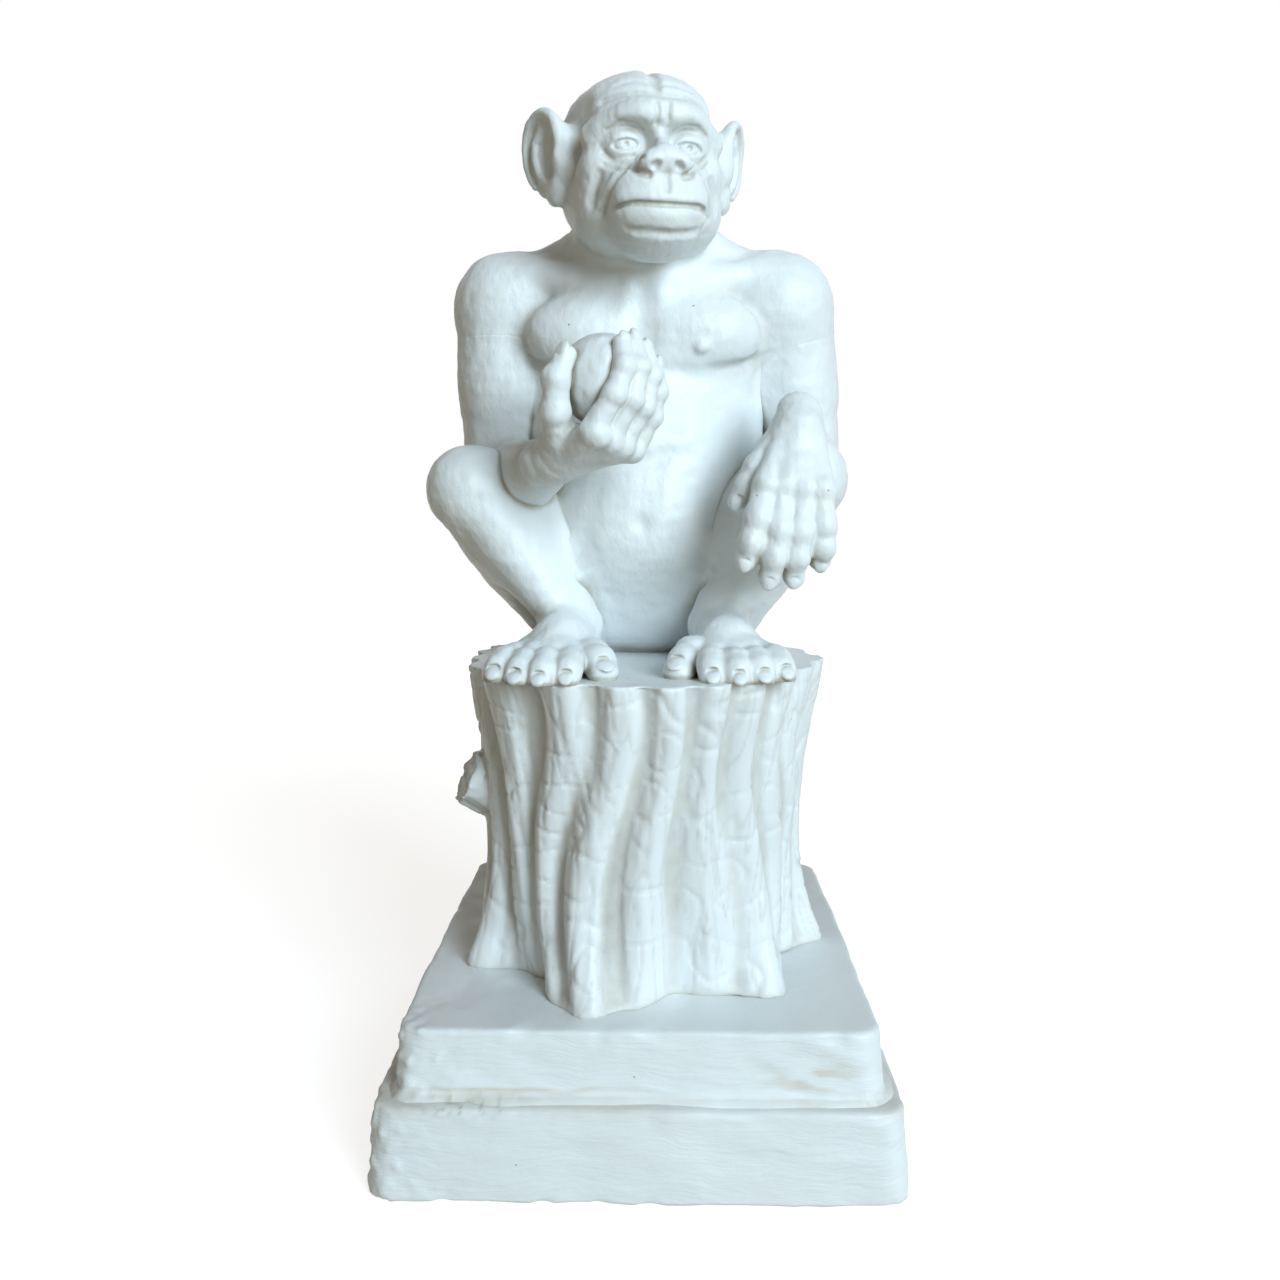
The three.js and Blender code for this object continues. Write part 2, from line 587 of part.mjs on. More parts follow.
// A head in a frame with its face towards -Y.
function earForm(side) {
  const turn = new THREE.Matrix4().makeRotationZ(-side * EAR.turn);
  const frame = headFrame.clone().multiply(turn.setPosition(side * EAR.x, EAR.y, EAR.z));
  const shell = lump(vec(0, 0, 0.5), [3.2, 10.2, 13.2], { frame, detail: 12 });
  const root = lump(vec(-side * 1.5, -5.5, -0.5), [5.5, 6.5, 9], { frame, detail: 8 });
  const bowl = lump(vec(side * 4.4, -0.6, 1), [4.4, 7.4, 10], { frame, detail: 10 });
  return cut(join([shell, root]), bowl);
}

function headForm() {
  const frame = headFrame;
  const egg = (x, y, z, radii, detail) => lump(vec(x, y, z), radii, { frame, detail });
  const pair = (x, y, z, radii, detail) => [-1, 1].map((side) => egg(side * x, y, z, radii, detail));
  const across = (places, options) => tube(places, { frame, across: UP, steps: 1, ...options });
  const skull = [
    egg(0, 8, 5, [23.5, 26, 21], 16),
    egg(0, -8, -6, [18.5, 14, 14.5], 12),
    egg(0, -8, -20, [16, 17, 10], 12),
    ...pair(15, -10, -6, [6, 8, 6], 8),
  ];
  const muzzle = [
    egg(0, -20, -16, [15.5, 15, 11.5], 14),
    egg(0, -24, -23.5, [11.5, 9.5, 6.5], 10),
    ...pair(3.8, -32, -8.6, [3.8, 3.4, 3.2], 8),
  ];
  const bridge = [vec(0, -19, 3), vec(0, -26, -3), vec(0, -32, -8)].map((at) => ({ at, r: 3.2 }));
  const brow = [-17, -9, 0, 9, 17].map((x) => ({ at: vec(x, -21.5 + x * x * 0.03, 5.5), r: 4.4 }));
  const lips = [-14, -7, 0, 7, 14].map((x) => ({ at: vec(x, -36.2 + x * x * 0.065, -19.5), r: 1 }));
  const hollows = [
    ...pair(8.6, -24, -1, [5.4, 4.8, 3.8], 8),
    ...pair(3.4, -35.4, -9.4, [1.5, 2, 1.3], 6),
    across(lips, { sides: 6 }),
  ];
  const flesh = join([...skull, ...muzzle, tube(bridge, { frame, sides: 8 }), across(brow, { sides: 8 })]);
  const eyes = pair(8.6, -19.4, -1.2, [3.9, 3.9, 3.6], 8);
  return join([cut(flesh, ...hollows), ...eyes, earForm(-1), earForm(1)]);
}

// A round fruit with a dimple and a stalk, which point forwards and up.
function fruitForm(grow) {
  const frame = frameAt(fruitCentre, vec(0.1, 0.75, -0.6), vec(0.35, -0.6, 0.72));
  const [levels, sides] = [7, 14];
  const radius = FRUIT_RADIUS + grow;
  const dimple = (angle) => 0.9 * FRUIT_RADIUS * Math.max(0, Math.sin(angle) - 0.8);
  const point = (angle, around) => {
    const level = radius * Math.cos(angle);
    const height = 0.95 * radius * Math.sin(angle) - dimple(angle);
    return vec(level * Math.cos(around), level * Math.sin(around), height);
  };
  const rings = Array.from({ length: levels }, (_, level) => {
    const angle = -Math.PI / 2 + (Math.PI * (level + 1)) / (levels + 1);
    return Array.from({ length: sides }, (_, side) => point(angle, (2 * Math.PI * side) / sides));
  });
  const top = point(Math.PI / 2, 0);
  const body = skin(rings, point(-Math.PI / 2, 0), top).applyMatrix4(frame);
  const stalk = [
    { at: vec(0, 0, top.z - 2), r: STALK_RADIUS },
    { at: vec(0.4, 0, top.z + STALK_LENGTH * 0.6), r: STALK_RADIUS * 0.8 },
    { at: vec(2, 0, top.z + STALK_LENGTH), r: STALK_RADIUS },
  ];
  return solid(body).add(tube(stalk, { frame, sides: 8, grow }));
}

// Joints between the castings of the ape, each with its steel dowel or pin

function jointOf(at, direction, length, radius) {
  const half = direction.clone().setLength(length / 2);
  return { at, direction, from: at.clone().sub(half), to: at.clone().add(half), radius };
}

const shoulderShare = 0.2; // of the upper arm, from the shoulder
const hipShare = 0.36; // of the thigh, from the hip

function shoulderJoint({ shoulder, elbow }) {
  const at = between(shoulder, elbow, shoulderShare);
  return jointOf(at, towards(shoulder, elbow), DOWEL_LENGTH, DOWEL_RADIUS);
}

function hipJoint({ hip, knee }) {
  const at = between(hip, knee, hipShare);
  return jointOf(at, towards(hip, knee), DOWEL_LENGTH, DOWEL_RADIUS);
}

function wristJoint({ elbow, wrist }, { forward }) {
  return jointOf(wrist, towards(elbow, wrist).add(forward), PIN_LENGTH, PIN_RADIUS);
}

function ankleJoint({ ankle }) {
  return jointOf(ankle, vec(0, 0, -1), PIN_LENGTH, PIN_RADIUS);
}

const neckJoint = jointOf(vec(0, NECK.y, NECK.z), neckDirection, DOWEL_LENGTH, DOWEL_RADIUS);
const joints = {
  neck_dowel: neckJoint,
  left_shoulder_dowel: shoulderJoint(leftArm),
  right_shoulder_dowel: shoulderJoint(rightArm),
  left_hip_dowel: hipJoint(leftLeg),
  right_hip_dowel: hipJoint(rightLeg),
  left_wrist_pin: wristJoint(leftArm, leftHand),
  right_wrist_pin: wristJoint(rightArm, rightHand),
  left_ankle_pin: ankleJoint(leftLeg),
  right_ankle_pin: ankleJoint(rightLeg),
};
const fruitPin = jointOf(
  fruitCentre.clone().addScaledVector(rightHand.back, FRUIT_RADIUS),
  rightHand.back,
  0.5 * PIN_LENGTH,
  PIN_RADIUS,
);

// The hole for a dowel, with clearance all round.
function bore({ from, to, radius }) {
  const margin = to.clone().sub(from).setLength(DOWEL_CLEARANCE);
  return bar(from.clone().sub(margin), to.clone().add(margin), radius + DOWEL_CLEARANCE);
}

// Ape: its castings. Each is cut by those that it is set against, grown by the joint between them.

const torsoRoom = torsoForm(JOINT_GAP);
const legRoom = [leftLeg, rightLeg].flatMap((bones) => [
  thighForm(bones, JOINT_GAP),
  shinForm(bones, JOINT_GAP),
]);
const bores = Object.values(joints).map(bore);
const seated = (whole) => whole.trimByPlane([0, 0, 1], JOINT_GAP);

// The upper and lower half of a limb as a stub on the torso, the casting between the joints, and
// the hand or foot.
function limb(upperForm, bones, lower, upperJoint, lowerJoint, room) {
  const [stub, upper] = split(upperForm(bones), upperJoint.at, upperJoint.direction);
  const [stubRoom] = split(upperForm(bones, JOINT_GAP), upperJoint.at, upperJoint.direction);
  const [near, end] = split(lower, lowerJoint.at, lowerJoint.direction);
  return { stub, middle: cut(upper.add(near), stubRoom, ...room), end: cut(end, stubRoom, ...room) };
}

const legs = {
  left: limb(
    thighForm,
    leftLeg,
    shinForm(leftLeg).add(footForm(leftLeg.ankle, vec(0.14, -1, 0), 1)),
    joints.left_hip_dowel,
    joints.left_ankle_pin,
    [torsoRoom],
  ),
  right: limb(
    thighForm,
    rightLeg,
    shinForm(rightLeg).add(footForm(rightLeg.ankle, vec(-0.18, -1, 0), -1)),
    joints.right_hip_dowel,
    joints.right_ankle_pin,
    [torsoRoom],
  ),
};
const arms = {
  left: limb(
    upperArmForm,
    leftArm,
    forearmForm(leftArm).add(handForm(leftArm.wrist, leftHand)),
    joints.left_shoulder_dowel,
    joints.left_wrist_pin,
    [torsoRoom, ...legRoom],
  ),
  right: limb(
    upperArmForm,
    rightArm,
    forearmForm(rightArm).add(handForm(rightArm.wrist, rightHand)),
    joints.right_shoulder_dowel,
    joints.right_wrist_pin,
    [torsoRoom, ...legRoom, fruitForm(JOINT_GAP), bore(fruitPin)],
  ),
};
const [neckStub, headWhole] = split(headForm().add(neckForm()), neckJoint.at, neckJoint.direction);
const stubs = [arms.left.stub, arms.right.stub, legs.left.stub, legs.right.stub, neckStub];

const rodTop = seatHeight + ROD_IN_TORSO;
const rodBore = post(0, ROD_Y, 0, rodTop + DOWEL_CLEARANCE, ROD_RADIUS + DOWEL_CLEARANCE);

const castings = {
  torso: cut(seated(join([torsoForm(0), ...stubs])), rodBore.translate(0, 0, -seatHeight)),
  head: cut(headWhole, torsoRoom),
  left_leg: legs.left.middle,
  right_leg: legs.right.middle,
  left_foot: seated(legs.left.end),
  right_foot: seated(legs.right.end),
  left_arm: arms.left.middle,
  right_arm: arms.right.middle,
  left_hand: arms.left.end,
  right_hand: arms.right.end,
  fruit: cut(fruitForm(0), bore(fruitPin)),
};

const ape = new THREE.Group();
ape.position.z = seatHeight;
for (const [name, whole] of Object.entries(castings)) {
  ape.add(meshOf(name, cut(whole, ...bores), plaster));
}
for (const [name, { from, to, radius }] of Object.entries({ ...joints, fruit_pin: fruitPin })) {
  ape.add(meshOf(name, bar(from, to, radius), steel));
}

// Threaded rod, which a nut and a washer hold inside the lower step
function rodFittings() {
  const ceiling = lowerTop - LOWER_WALL - JOINT_GAP / 2;
  const washerBottom = ceiling - WASHER_THICKNESS;
  const nutTop = washerBottom - JOINT_GAP / 2;
  const nutBottom = nutTop - NUT_HEIGHT;
  return {
    armature_rod: post(0, ROD_Y, nutBottom - ROD_BELOW_NUT, rodTop, ROD_RADIUS),
    rod_washer: cut(post(0, ROD_Y, washerBottom, ceiling, WASHER_RADIUS, 16), rodBore),
    rod_nut: cut(post(0, ROD_Y, nutBottom, nutTop, NUT_RADIUS, 6), rodBore),
  };
}

const base = new THREE.Group();
const baseCastings = { plinth_lower: plinthLower(), plinth_upper: plinthUpper(), stump: stump() };
for (const [name, whole] of Object.entries(baseCastings)) {
  base.add(meshOf(name, cut(whole, rodBore), plaster));
}
for (const [name, whole] of Object.entries(rodFittings())) base.add(meshOf(name, whole, steel));
for (const { name, x, y } of pads) {
  base.add(meshOf(name, post(x, y, 0, PAD_THICKNESS, PAD_RADIUS, 16), felt));
}

const statue = new THREE.Group();
statue.add(base, ape);

export default statue;
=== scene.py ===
"""A seated ape on a tree stump: plaster castings set together and painted white."""
import math

import bpy
import numpy as np
from mathutils import Matrix, Vector


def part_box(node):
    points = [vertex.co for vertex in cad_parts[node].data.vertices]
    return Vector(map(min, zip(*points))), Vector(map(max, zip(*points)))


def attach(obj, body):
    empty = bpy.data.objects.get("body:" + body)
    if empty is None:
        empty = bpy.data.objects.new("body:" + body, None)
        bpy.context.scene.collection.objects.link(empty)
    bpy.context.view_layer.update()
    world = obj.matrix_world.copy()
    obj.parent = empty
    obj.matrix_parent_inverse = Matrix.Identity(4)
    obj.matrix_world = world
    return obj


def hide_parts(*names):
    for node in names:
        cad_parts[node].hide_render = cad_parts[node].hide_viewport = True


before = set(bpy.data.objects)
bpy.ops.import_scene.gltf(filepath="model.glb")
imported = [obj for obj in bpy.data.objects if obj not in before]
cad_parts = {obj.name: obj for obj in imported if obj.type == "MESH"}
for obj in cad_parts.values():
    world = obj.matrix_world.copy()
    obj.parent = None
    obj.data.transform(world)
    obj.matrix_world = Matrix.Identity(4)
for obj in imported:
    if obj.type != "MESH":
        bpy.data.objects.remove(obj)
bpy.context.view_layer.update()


# Lower step of the plinth: a hollow plaster casting, open below, with a seat for a felt pad in each
# corner. The mould left its sides leaning in a little, and years of handling have rounded its edges.

LOWER_WALL = 0.010
PLINTH_DRAFT = 0.0012
PLINTH_CORNER = 0.007
PLINTH_VOXEL = 0.0009
PAD_SEAT_RADIUS = 0.011
JOINT_GAP = 0.0003  # the plaster in a joint, which the CAD leaves open between two castings

# How far each kind of wear or brushing moves the skin of the plinth, and how far from the edge or
# the corner it reaches
SWELL = 0.00032
RIPPLE = 0.00013
STROKES = 0.00004
DENTS, DENTS_REACH = 0.00075, 0.0022
DABS, DABS_REACH = 0.0006, 0.017

# Each operator would otherwise store an undo step, which is slow
bpy.context.preferences.edit.use_global_undo = False


def deselect_all():
    for other in bpy.context.selected_objects:
        other.select_set(False)


def select_only(piece):
    deselect_all()
    piece.select_set(True)
    bpy.context.view_layer.objects.active = piece


def settled(piece):
    """Its place goes into its mesh, so that the object sits at the origin."""
    select_only(piece)
    bpy.ops.object.transform_apply(location=True, rotation=True, scale=True)
    return piece


def primitive(name, add, **values):
    """A new primitive, added by the operator with nothing else selected."""
    deselect_all()
    add(**values)
    piece = bpy.context.object
    piece.name = name
    piece.data.name = name
    return settled(piece)


def joined(pieces):
    select_only(pieces[0])
    for piece in pieces[1:]:
        piece.select_set(True)
    bpy.ops.object.join()
    return settled(pieces[0])


def with_modifier(piece, kind, **values):
    bpy.context.view_layer.objects.active = piece
    modifier = piece.modifiers.new(kind.lower(), kind)
    for key, value in values.items():
        setattr(modifier, key, value)
    bpy.ops.object.modifier_apply(modifier=modifier.name)


def in_one_skin(piece, voxel, softness=3):
    """Overlapping shells become one even skin, and its corners soften."""
    with_modifier(piece, "REMESH", mode="VOXEL", voxel_size=voxel, adaptivity=0)
    if softness:
        with_modifier(piece, "SMOOTH", factor=0.5, iterations=softness)


def points_of(piece):
    points = np.empty(len(piece.data.vertices) * 3)
    piece.data.vertices.foreach_get("co", points)
    return points.reshape(-1, 3)


def normals_of(piece):
    normals = np.empty(len(piece.data.vertices) * 3, dtype=np.float32)
    piece.data.vertex_normals.foreach_get("vector", normals)
    return normals.reshape(-1, 3).astype(float)


def move_points(piece, points):
    piece.data.vertices.foreach_set("co", np.ascontiguousarray(points).ravel())
    piece.data.update()


def keep_on_points(piece, name, values):
    """Values for the paint to read, one for each point."""
    attribute = piece.data.attributes.new(name, "FLOAT", "POINT")
    attribute.data.foreach_set("value", np.asarray(values, dtype=np.float32))


def bell(distance, reach):
    """1 where the distance is nought, falling off smoothly on both sides within about the reach."""
    return np.exp(-(distance / reach) ** 2)


def unevenness(seed, length, waves=14):
    """A smooth random swell over space, between about -1 and 1, from waves of one length."""
    draw = np.random.default_rng(seed)
    turns = draw.normal(size=(waves, 3))
    turns *= 2 * math.pi / (length * np.linalg.norm(turns, axis=1, keepdims=True))
    turns *= draw.uniform(0.6, 1.5, size=(waves, 1))
    shifts = draw.uniform(0, 2 * math.pi, size=waves)

    def height(points):
        return np.sin(points @ turns.T + shifts).sum(axis=1) / math.sqrt(waves)

    return height


def edit_only(piece, kind, test):
    """Goes into edit mode with only those faces selected whose normal passes the test, or only
    those edges whose line from end to end does."""
    bpy.ops.object.mode_set(mode="EDIT")
    bpy.ops.mesh.select_mode(type=kind)
    bpy.ops.mesh.select_all(action="DESELECT")
    bpy.ops.object.mode_set(mode="OBJECT")
    mesh = piece.data
    if kind == "FACE":
        for face in mesh.polygons:
            face.select = test(face.normal)
    else:
        for edge in mesh.edges:
            start, end = (mesh.vertices[i].co for i in edge.vertices)
            edge.select = test(end - start)
    bpy.ops.object.mode_set(mode="EDIT")


def block(name, low, high):
    """A block between two corners, leaning in by the draft, with its upright corners rounded."""
    size, middle = high - low, (high + low) / 2
    piece = primitive(name, bpy.ops.mesh.primitive_cube_add, size=1, location=middle, scale=size)
    edit_only(piece, "FACE", lambda normal: normal.z > 0.9)
    lean = [1 - 2 * PLINTH_DRAFT / side for side in size.xy]
    bpy.ops.transform.resize(value=(*lean, 1), center_override=middle)
    edit_only(piece, "EDGE", lambda line: abs(line.z) > 0.8 * size.z)
    bpy.ops.mesh.bevel(offset=PLINTH_CORNER, segments=6)
    bpy.ops.object.mode_set(mode="OBJECT")
    return piece


def worn(piece, seed, box, buried=0.0):
    """Hand-finished plaster: the faces swell a little, the edges have small dents, and thick paint
    was dabbed on along the faces and round the front corner on the left. The foot may be buried."""
    points, normals = points_of(piece), normals_of(piece)
    low, high = (np.array(corner) for corner in box)
    swell = unevenness(seed, 0.045)(points) * SWELL
    ripple = unevenness(seed + 1, 0.011)(points * (0.7, 0.7, 1)) * RIPPLE
    strokes = unevenness(seed + 3, 0.0042)(points * (0.4, 0.4, 1)) * STROKES
    inside = np.minimum(points - low, high - points)
    near_edge = np.exp(-np.sort(inside, axis=1)[:, 1] / DENTS_REACH)
    near_edge *= points[:, 2] > low[2] + 2 * buried
    dents = np.clip(unevenness(seed + 2, 0.013)(points) - 0.3, 0, None) * DENTS * near_edge
    from_corner = np.hypot(points[:, 0] - low[0], points[:, 1] - low[1])
    dabs = np.clip(unevenness(seed + 4, 0.0048)(points) - 0.2, 0, 1.2) * DABS
    dabs *= bell(from_corner, DABS_REACH)
    points += normals * (swell + ripple + strokes + dabs - dents)[:, None]
    move_points(piece, np.clip(points, low, high))


def dressed(piece, node, material):
    """The piece gets its paint and stands for its CAD node."""
    piece.data.materials.clear()
    piece.data.materials.append(material)
    for polygon in piece.data.polygons:
        polygon.use_smooth = True
    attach(piece, "root")
    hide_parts(node)


def socket(group, name, kind, way, value=None):
    made = group.interface.new_socket(name=name, in_out=way, socket_type=kind)
    if value is not None:
        made.default_value = value


def math_node(nodes, links, operation, *inputs, clamp=False):
    node = nodes.new("ShaderNodeMath")
    node.operation = operation
    node.use_clamp = clamp
    for place, value in enumerate(inputs):
        if isinstance(value, (int, float)):
            node.inputs[place].default_value = value
        else:
            links.new(value, node.inputs[place])
    return node.outputs[0]


def mix_colours(nodes, links, share, first, second):
    node = nodes.new("ShaderNodeMix")
    node.data_type = "RGBA"
    for value, place in ((share, 0), (first, 6), (second, 7)):
        if isinstance(value, (int, float, tuple)):
            node.inputs[place].default_value = value
        else:
            links.new(value, node.inputs[place])
    return node.outputs[2]


def noise(nodes, links, vector, scale, detail=2.0, roughness=0.5):
    node = nodes.new("ShaderNodeTexNoise")
    node.inputs["Scale"].default_value = scale
    node.inputs["Detail"].default_value = detail
    node.inputs["Roughness"].default_value = roughness
    links.new(vector, node.inputs["Vector"])
    return node.outputs["Fac"]


def new_material(name):
    material = bpy.data.materials.new(name)
    material.use_nodes = True
    nodes, links = material.node_tree.nodes, material.node_tree.links
    return material, nodes, links, nodes["Principled BSDF"]


def with_relief(nodes, links, shader, height, distance, strength=1.0):
    relief = nodes.new("ShaderNodeBump")
    relief.inputs["Strength"].default_value = strength
    relief.inputs["Distance"].default_value = distance
    links.new(height, relief.inputs["Height"])
    links.new(relief.outputs["Normal"], shader.inputs["Normal"])


COLD_WHITES = ((0.77, 0.825, 0.85, 1), (0.83, 0.865, 0.87, 1))
# The colour of dirt and painted shade in creases and recesses
DIRT_AND_SHADE = (0.36, 0.325, 0.235, 1)
YELLOWED = (0.56, 0.47, 0.33, 1)
PINHOLE_SHADOW = (0.16, 0.15, 0.13, 1)
PINHOLE_CELLS = 105
CELLS_WITHOUT_PINHOLE = 0.55
PINHOLE_LEAST = 0.012
PINHOLE_RANGE = 0.030


def thick_white_paint():
    """Brushed, slightly uneven white paint, with dirt and painted shade in the hollows, and pinholes
    in the plaster, darkened with painted shadow.
    """
    group = bpy.data.node_groups.new("thick white paint", "ShaderNodeTree")
    socket(group, "Place", "NodeSocketVector", "INPUT")
    socket(group, "Strokes", "NodeSocketVector", "INPUT")
    socket(group, "Hollow", "NodeSocketFloat", "INPUT", 0.0)
    socket(group, "Stain", "NodeSocketFloat", "INPUT", 0.0)
    socket(group, "Brush Depth", "NodeSocketFloat", "INPUT", 0.6)
    socket(group, "Colour", "NodeSocketColor", "OUTPUT")
    socket(group, "Roughness", "NodeSocketFloat", "OUTPUT")
    socket(group, "Height", "NodeSocketFloat", "OUTPUT")
    nodes, links = group.nodes, group.links
    given = nodes.new("NodeGroupInput").outputs
    result = nodes.new("NodeGroupOutput").inputs

    patches = noise(nodes, links, given["Place"], scale=32, detail=3.0)
    lumps = noise(nodes, links, given["Place"], scale=210)
    grit = noise(nodes, links, given["Place"], scale=1300, roughness=0.6)
    strokes = noise(nodes, links, given["Strokes"], scale=1.0, detail=4.0, roughness=0.62)
    ridges = noise(nodes, links, given["Strokes"], scale=0.3, detail=1.0)
    ridges = math_node(nodes, links, "SUBTRACT", ridges, 0.53)
    dabs = math_node(nodes, links, "MULTIPLY", ridges, 6.0, clamp=True)

    cells = nodes.new("ShaderNodeTexVoronoi")
    cells.inputs["Scale"].default_value = PINHOLE_CELLS
    links.new(given["Place"], cells.inputs["Vector"])
    split = nodes.new("ShaderNodeSeparateColor")
    links.new(cells.outputs["Color"], split.inputs["Color"])
    chosen = math_node(nodes, links, "GREATER_THAN", split.outputs["Red"], CELLS_WITHOUT_PINHOLE)
    size = math_node(nodes, links, "MULTIPLY_ADD", split.outputs["Green"], PINHOLE_RANGE, PINHOLE_LEAST)
    depth = math_node(nodes, links, "DIVIDE", cells.outputs["Distance"], size)
    inside = math_node(nodes, links, "SUBTRACT", 1.0, depth, clamp=True)
    pinhole = math_node(nodes, links, "MULTIPLY", inside, chosen, clamp=True)

    cold = mix_colours(nodes, links, patches, *COLD_WHITES)
    # Where the Hollow input is high the paint darkens to brown grey: partly dirt, partly painted shade
    dirt_and_shade = math_node(nodes, links, "MULTIPLY_ADD", lumps, 0.7, 0.35)
    dirt_and_shade = math_node(nodes, links, "MULTIPLY", dirt_and_shade, given["Hollow"], clamp=True)
    dirtied_and_shaded = mix_colours(nodes, links, dirt_and_shade, cold, DIRT_AND_SHADE)
    stained = mix_colours(nodes, links, given["Stain"], dirtied_and_shaded, YELLOWED)
    dark = math_node(nodes, links, "MULTIPLY", pinhole, 1.6, clamp=True)
    links.new(mix_colours(nodes, links, dark, stained, PINHOLE_SHADOW), result["Colour"])

    shine = math_node(nodes, links, "MULTIPLY_ADD", strokes, 0.22, 0.33)
    shine = math_node(nodes, links, "MULTIPLY_ADD", given["Hollow"], 0.2, shine)
    links.new(shine, result["Roughness"])

    height = math_node(nodes, links, "MULTIPLY_ADD", dabs, 0.4, strokes)
    height = math_node(nodes, links, "MULTIPLY", height, given["Brush Depth"])
    height = math_node(nodes, links, "MULTIPLY_ADD", lumps, 0.5, height)
    height = math_node(nodes, links, "MULTIPLY_ADD", grit, 0.08, height)
    height = math_node(nodes, links, "MULTIPLY_ADD", pinhole, -1.1, height)
    links.new(height, result["Height"])
    return group


paint = thick_white_paint()


def painted(name, stroke_scale, brush_depth=0.6, bump=0.00022, turn=(0, 0, 0)):
    """A coat of the paint. Its strokes are long where stroke_scale is small."""
    material, nodes, links, shader = new_material(name)
    place = nodes.new("ShaderNodeTexCoord").outputs["Object"]
    warp = nodes.new("ShaderNodeTexNoise")
    warp.inputs["Scale"].default_value = 28
    links.new(place, warp.inputs["Vector"])
    bend = nodes.new("ShaderNodeVectorMath")
    bend.operation = "MULTIPLY_ADD"
    links.new(warp.outputs["Color"], bend.inputs[0])
    bend.inputs[1].default_value = (0.012, 0.012, 0.012)
    links.new(place, bend.inputs[2])
    mapping = nodes.new("ShaderNodeMapping")
    mapping.inputs["Rotation"].default_value = turn
    mapping.inputs["Scale"].default_value = stroke_scale
    links.new(bend.outputs[0], mapping.inputs["Vector"])
    coat = nodes.new("ShaderNodeGroup")
    coat.node_tree = paint
    coat.inputs["Brush Depth"].default_value = brush_depth
    links.new(place, coat.inputs["Place"])
    links.new(mapping.outputs["Vector"], coat.inputs["Strokes"])
    for name_on_points in ("Hollow", "Stain"):
        read = nodes.new("ShaderNodeAttribute")
        read.attribute_name = name_on_points.lower()
        links.new(read.outputs["Fac"], coat.inputs[name_on_points])
    with_relief(nodes, links, shader, coat.outputs["Height"], bump)
    links.new(coat.outputs["Colour"], shader.inputs["Base Color"])
    links.new(coat.outputs["Roughness"], shader.inputs["Roughness"])
    return material


plinth_paint = painted("white paint brushed along the plinth", (150, 150, 1000), brush_depth=0.75,
                       bump=0.00027)


def box_of(node):
    return [Vector(corner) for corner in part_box(node)]


lower_box, upper_box = box_of("plinth_lower"), box_of("plinth_upper")
LEDGE = upper_box[0].z - JOINT_GAP
STUMP_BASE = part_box("stump")[0][2] - JOINT_GAP

low, high = lower_box[0], Vector((lower_box[1].x, lower_box[1].y, LEDGE))
plinth_lower = block("lower_step_casting", low, high)
edit_only(plinth_lower, "FACE", lambda normal: normal.z < -0.9)
bpy.ops.mesh.inset(thickness=LOWER_WALL, depth=0)
bpy.ops.mesh.extrude_region_move(
    TRANSFORM_OT_translate={"value": (0, 0, high.z - low.z - LOWER_WALL)})
bpy.ops.object.mode_set(mode="OBJECT")
pad_boxes = {node: box_of(node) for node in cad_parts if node.startswith("felt_pad")}
seats = []
for node, (pad_low, pad_high) in pad_boxes.items():
    middle = (pad_low + pad_high) / 2
    top = high.z - LOWER_WALL / 2
    seats.append(primitive(
        "seat_of_" + node, bpy.ops.mesh.primitive_cylinder_add, vertices=48, radius=PAD_SEAT_RADIUS,
        depth=top - low.z, location=(middle.x, middle.y, (top + low.z) / 2)))
plinth_lower = joined([plinth_lower, *seats])
in_one_skin(plinth_lower, PLINTH_VOXEL, softness=5)
worn(plinth_lower, 3, (low, high))


DIRTY_PATCH = (-0.047, -0.074)
PATCH_REACH = np.array((0.013, 0.008, 0.0017))
FILLER_REACH = 0.0016
BROWN_LINE_ABOVE = 0.0017
BROWN_LINE_WANDERS = 0.0005
BROWN_LINE_REACH = 0.0006


def seam_dirt_and_shade(points, outline, height, reach):
    """Dirt and painted shade in a seam, near a height and the outline of the step above. A patch at
    the front, on the ape's right, is cracked and dirtier than the rest."""
    sideways = np.maximum(np.abs(points[:, 0]) - outline.x, np.abs(points[:, 1]) - outline.y)
    dirt_and_shade = 0.3 * bell(sideways, reach) * bell(points[:, 2] - height, reach)
    patch = bell(points - (*DIRTY_PATCH, height), PATCH_REACH).prod(axis=1)
    cracks = bell(unevenness(23, 0.0042)(points * (0.6, 0.6, 1.5)), 0.3)
    return np.clip(dirt_and_shade + 1.1 * patch * cracks, 0, 1)


def seam_stain(points, height, seed):
    """Yellowed filler along the seam, in streaks, with a thin brown line along its upper edge."""
    streaks = np.clip(unevenness(seed, 0.03)(points * (0.6, 0.6, 4)) * 0.5 + 0.45, 0, 1)
    filler = 0.35 * bell(points[:, 2] - height, FILLER_REACH)
    edge = height + BROWN_LINE_ABOVE + BROWN_LINE_WANDERS * unevenness(27, 0.02)(points * (1, 1, 0))
    line = 0.6 * bell(points[:, 2] - edge, BROWN_LINE_REACH)
    return np.clip((filler + line) * streaks, 0, 1)


lower_points = points_of(plinth_lower)
# Dirt and painted shade along the corner at the foot of the upper step
keep_on_points(plinth_lower, "hollow", seam_dirt_and_shade(lower_points, upper_box[1], LEDGE, 0.0035))
keep_on_points(plinth_lower, "stain", seam_stain(lower_points, LEDGE, 8))
dressed(plinth_lower, "plinth_lower", plinth_paint)


# Felt pads: four discs of grey needled felt, glued into shallow seats under the corners of the
# plinth. They stand proud of the plaster by less than a millimetre and carry the statue.

PAD_EDGE = 0.0004
FUZZ = 0.00006
FELT_GREYS = ((0.13, 0.14, 0.135, 1), (0.42, 0.44, 0.42, 1))


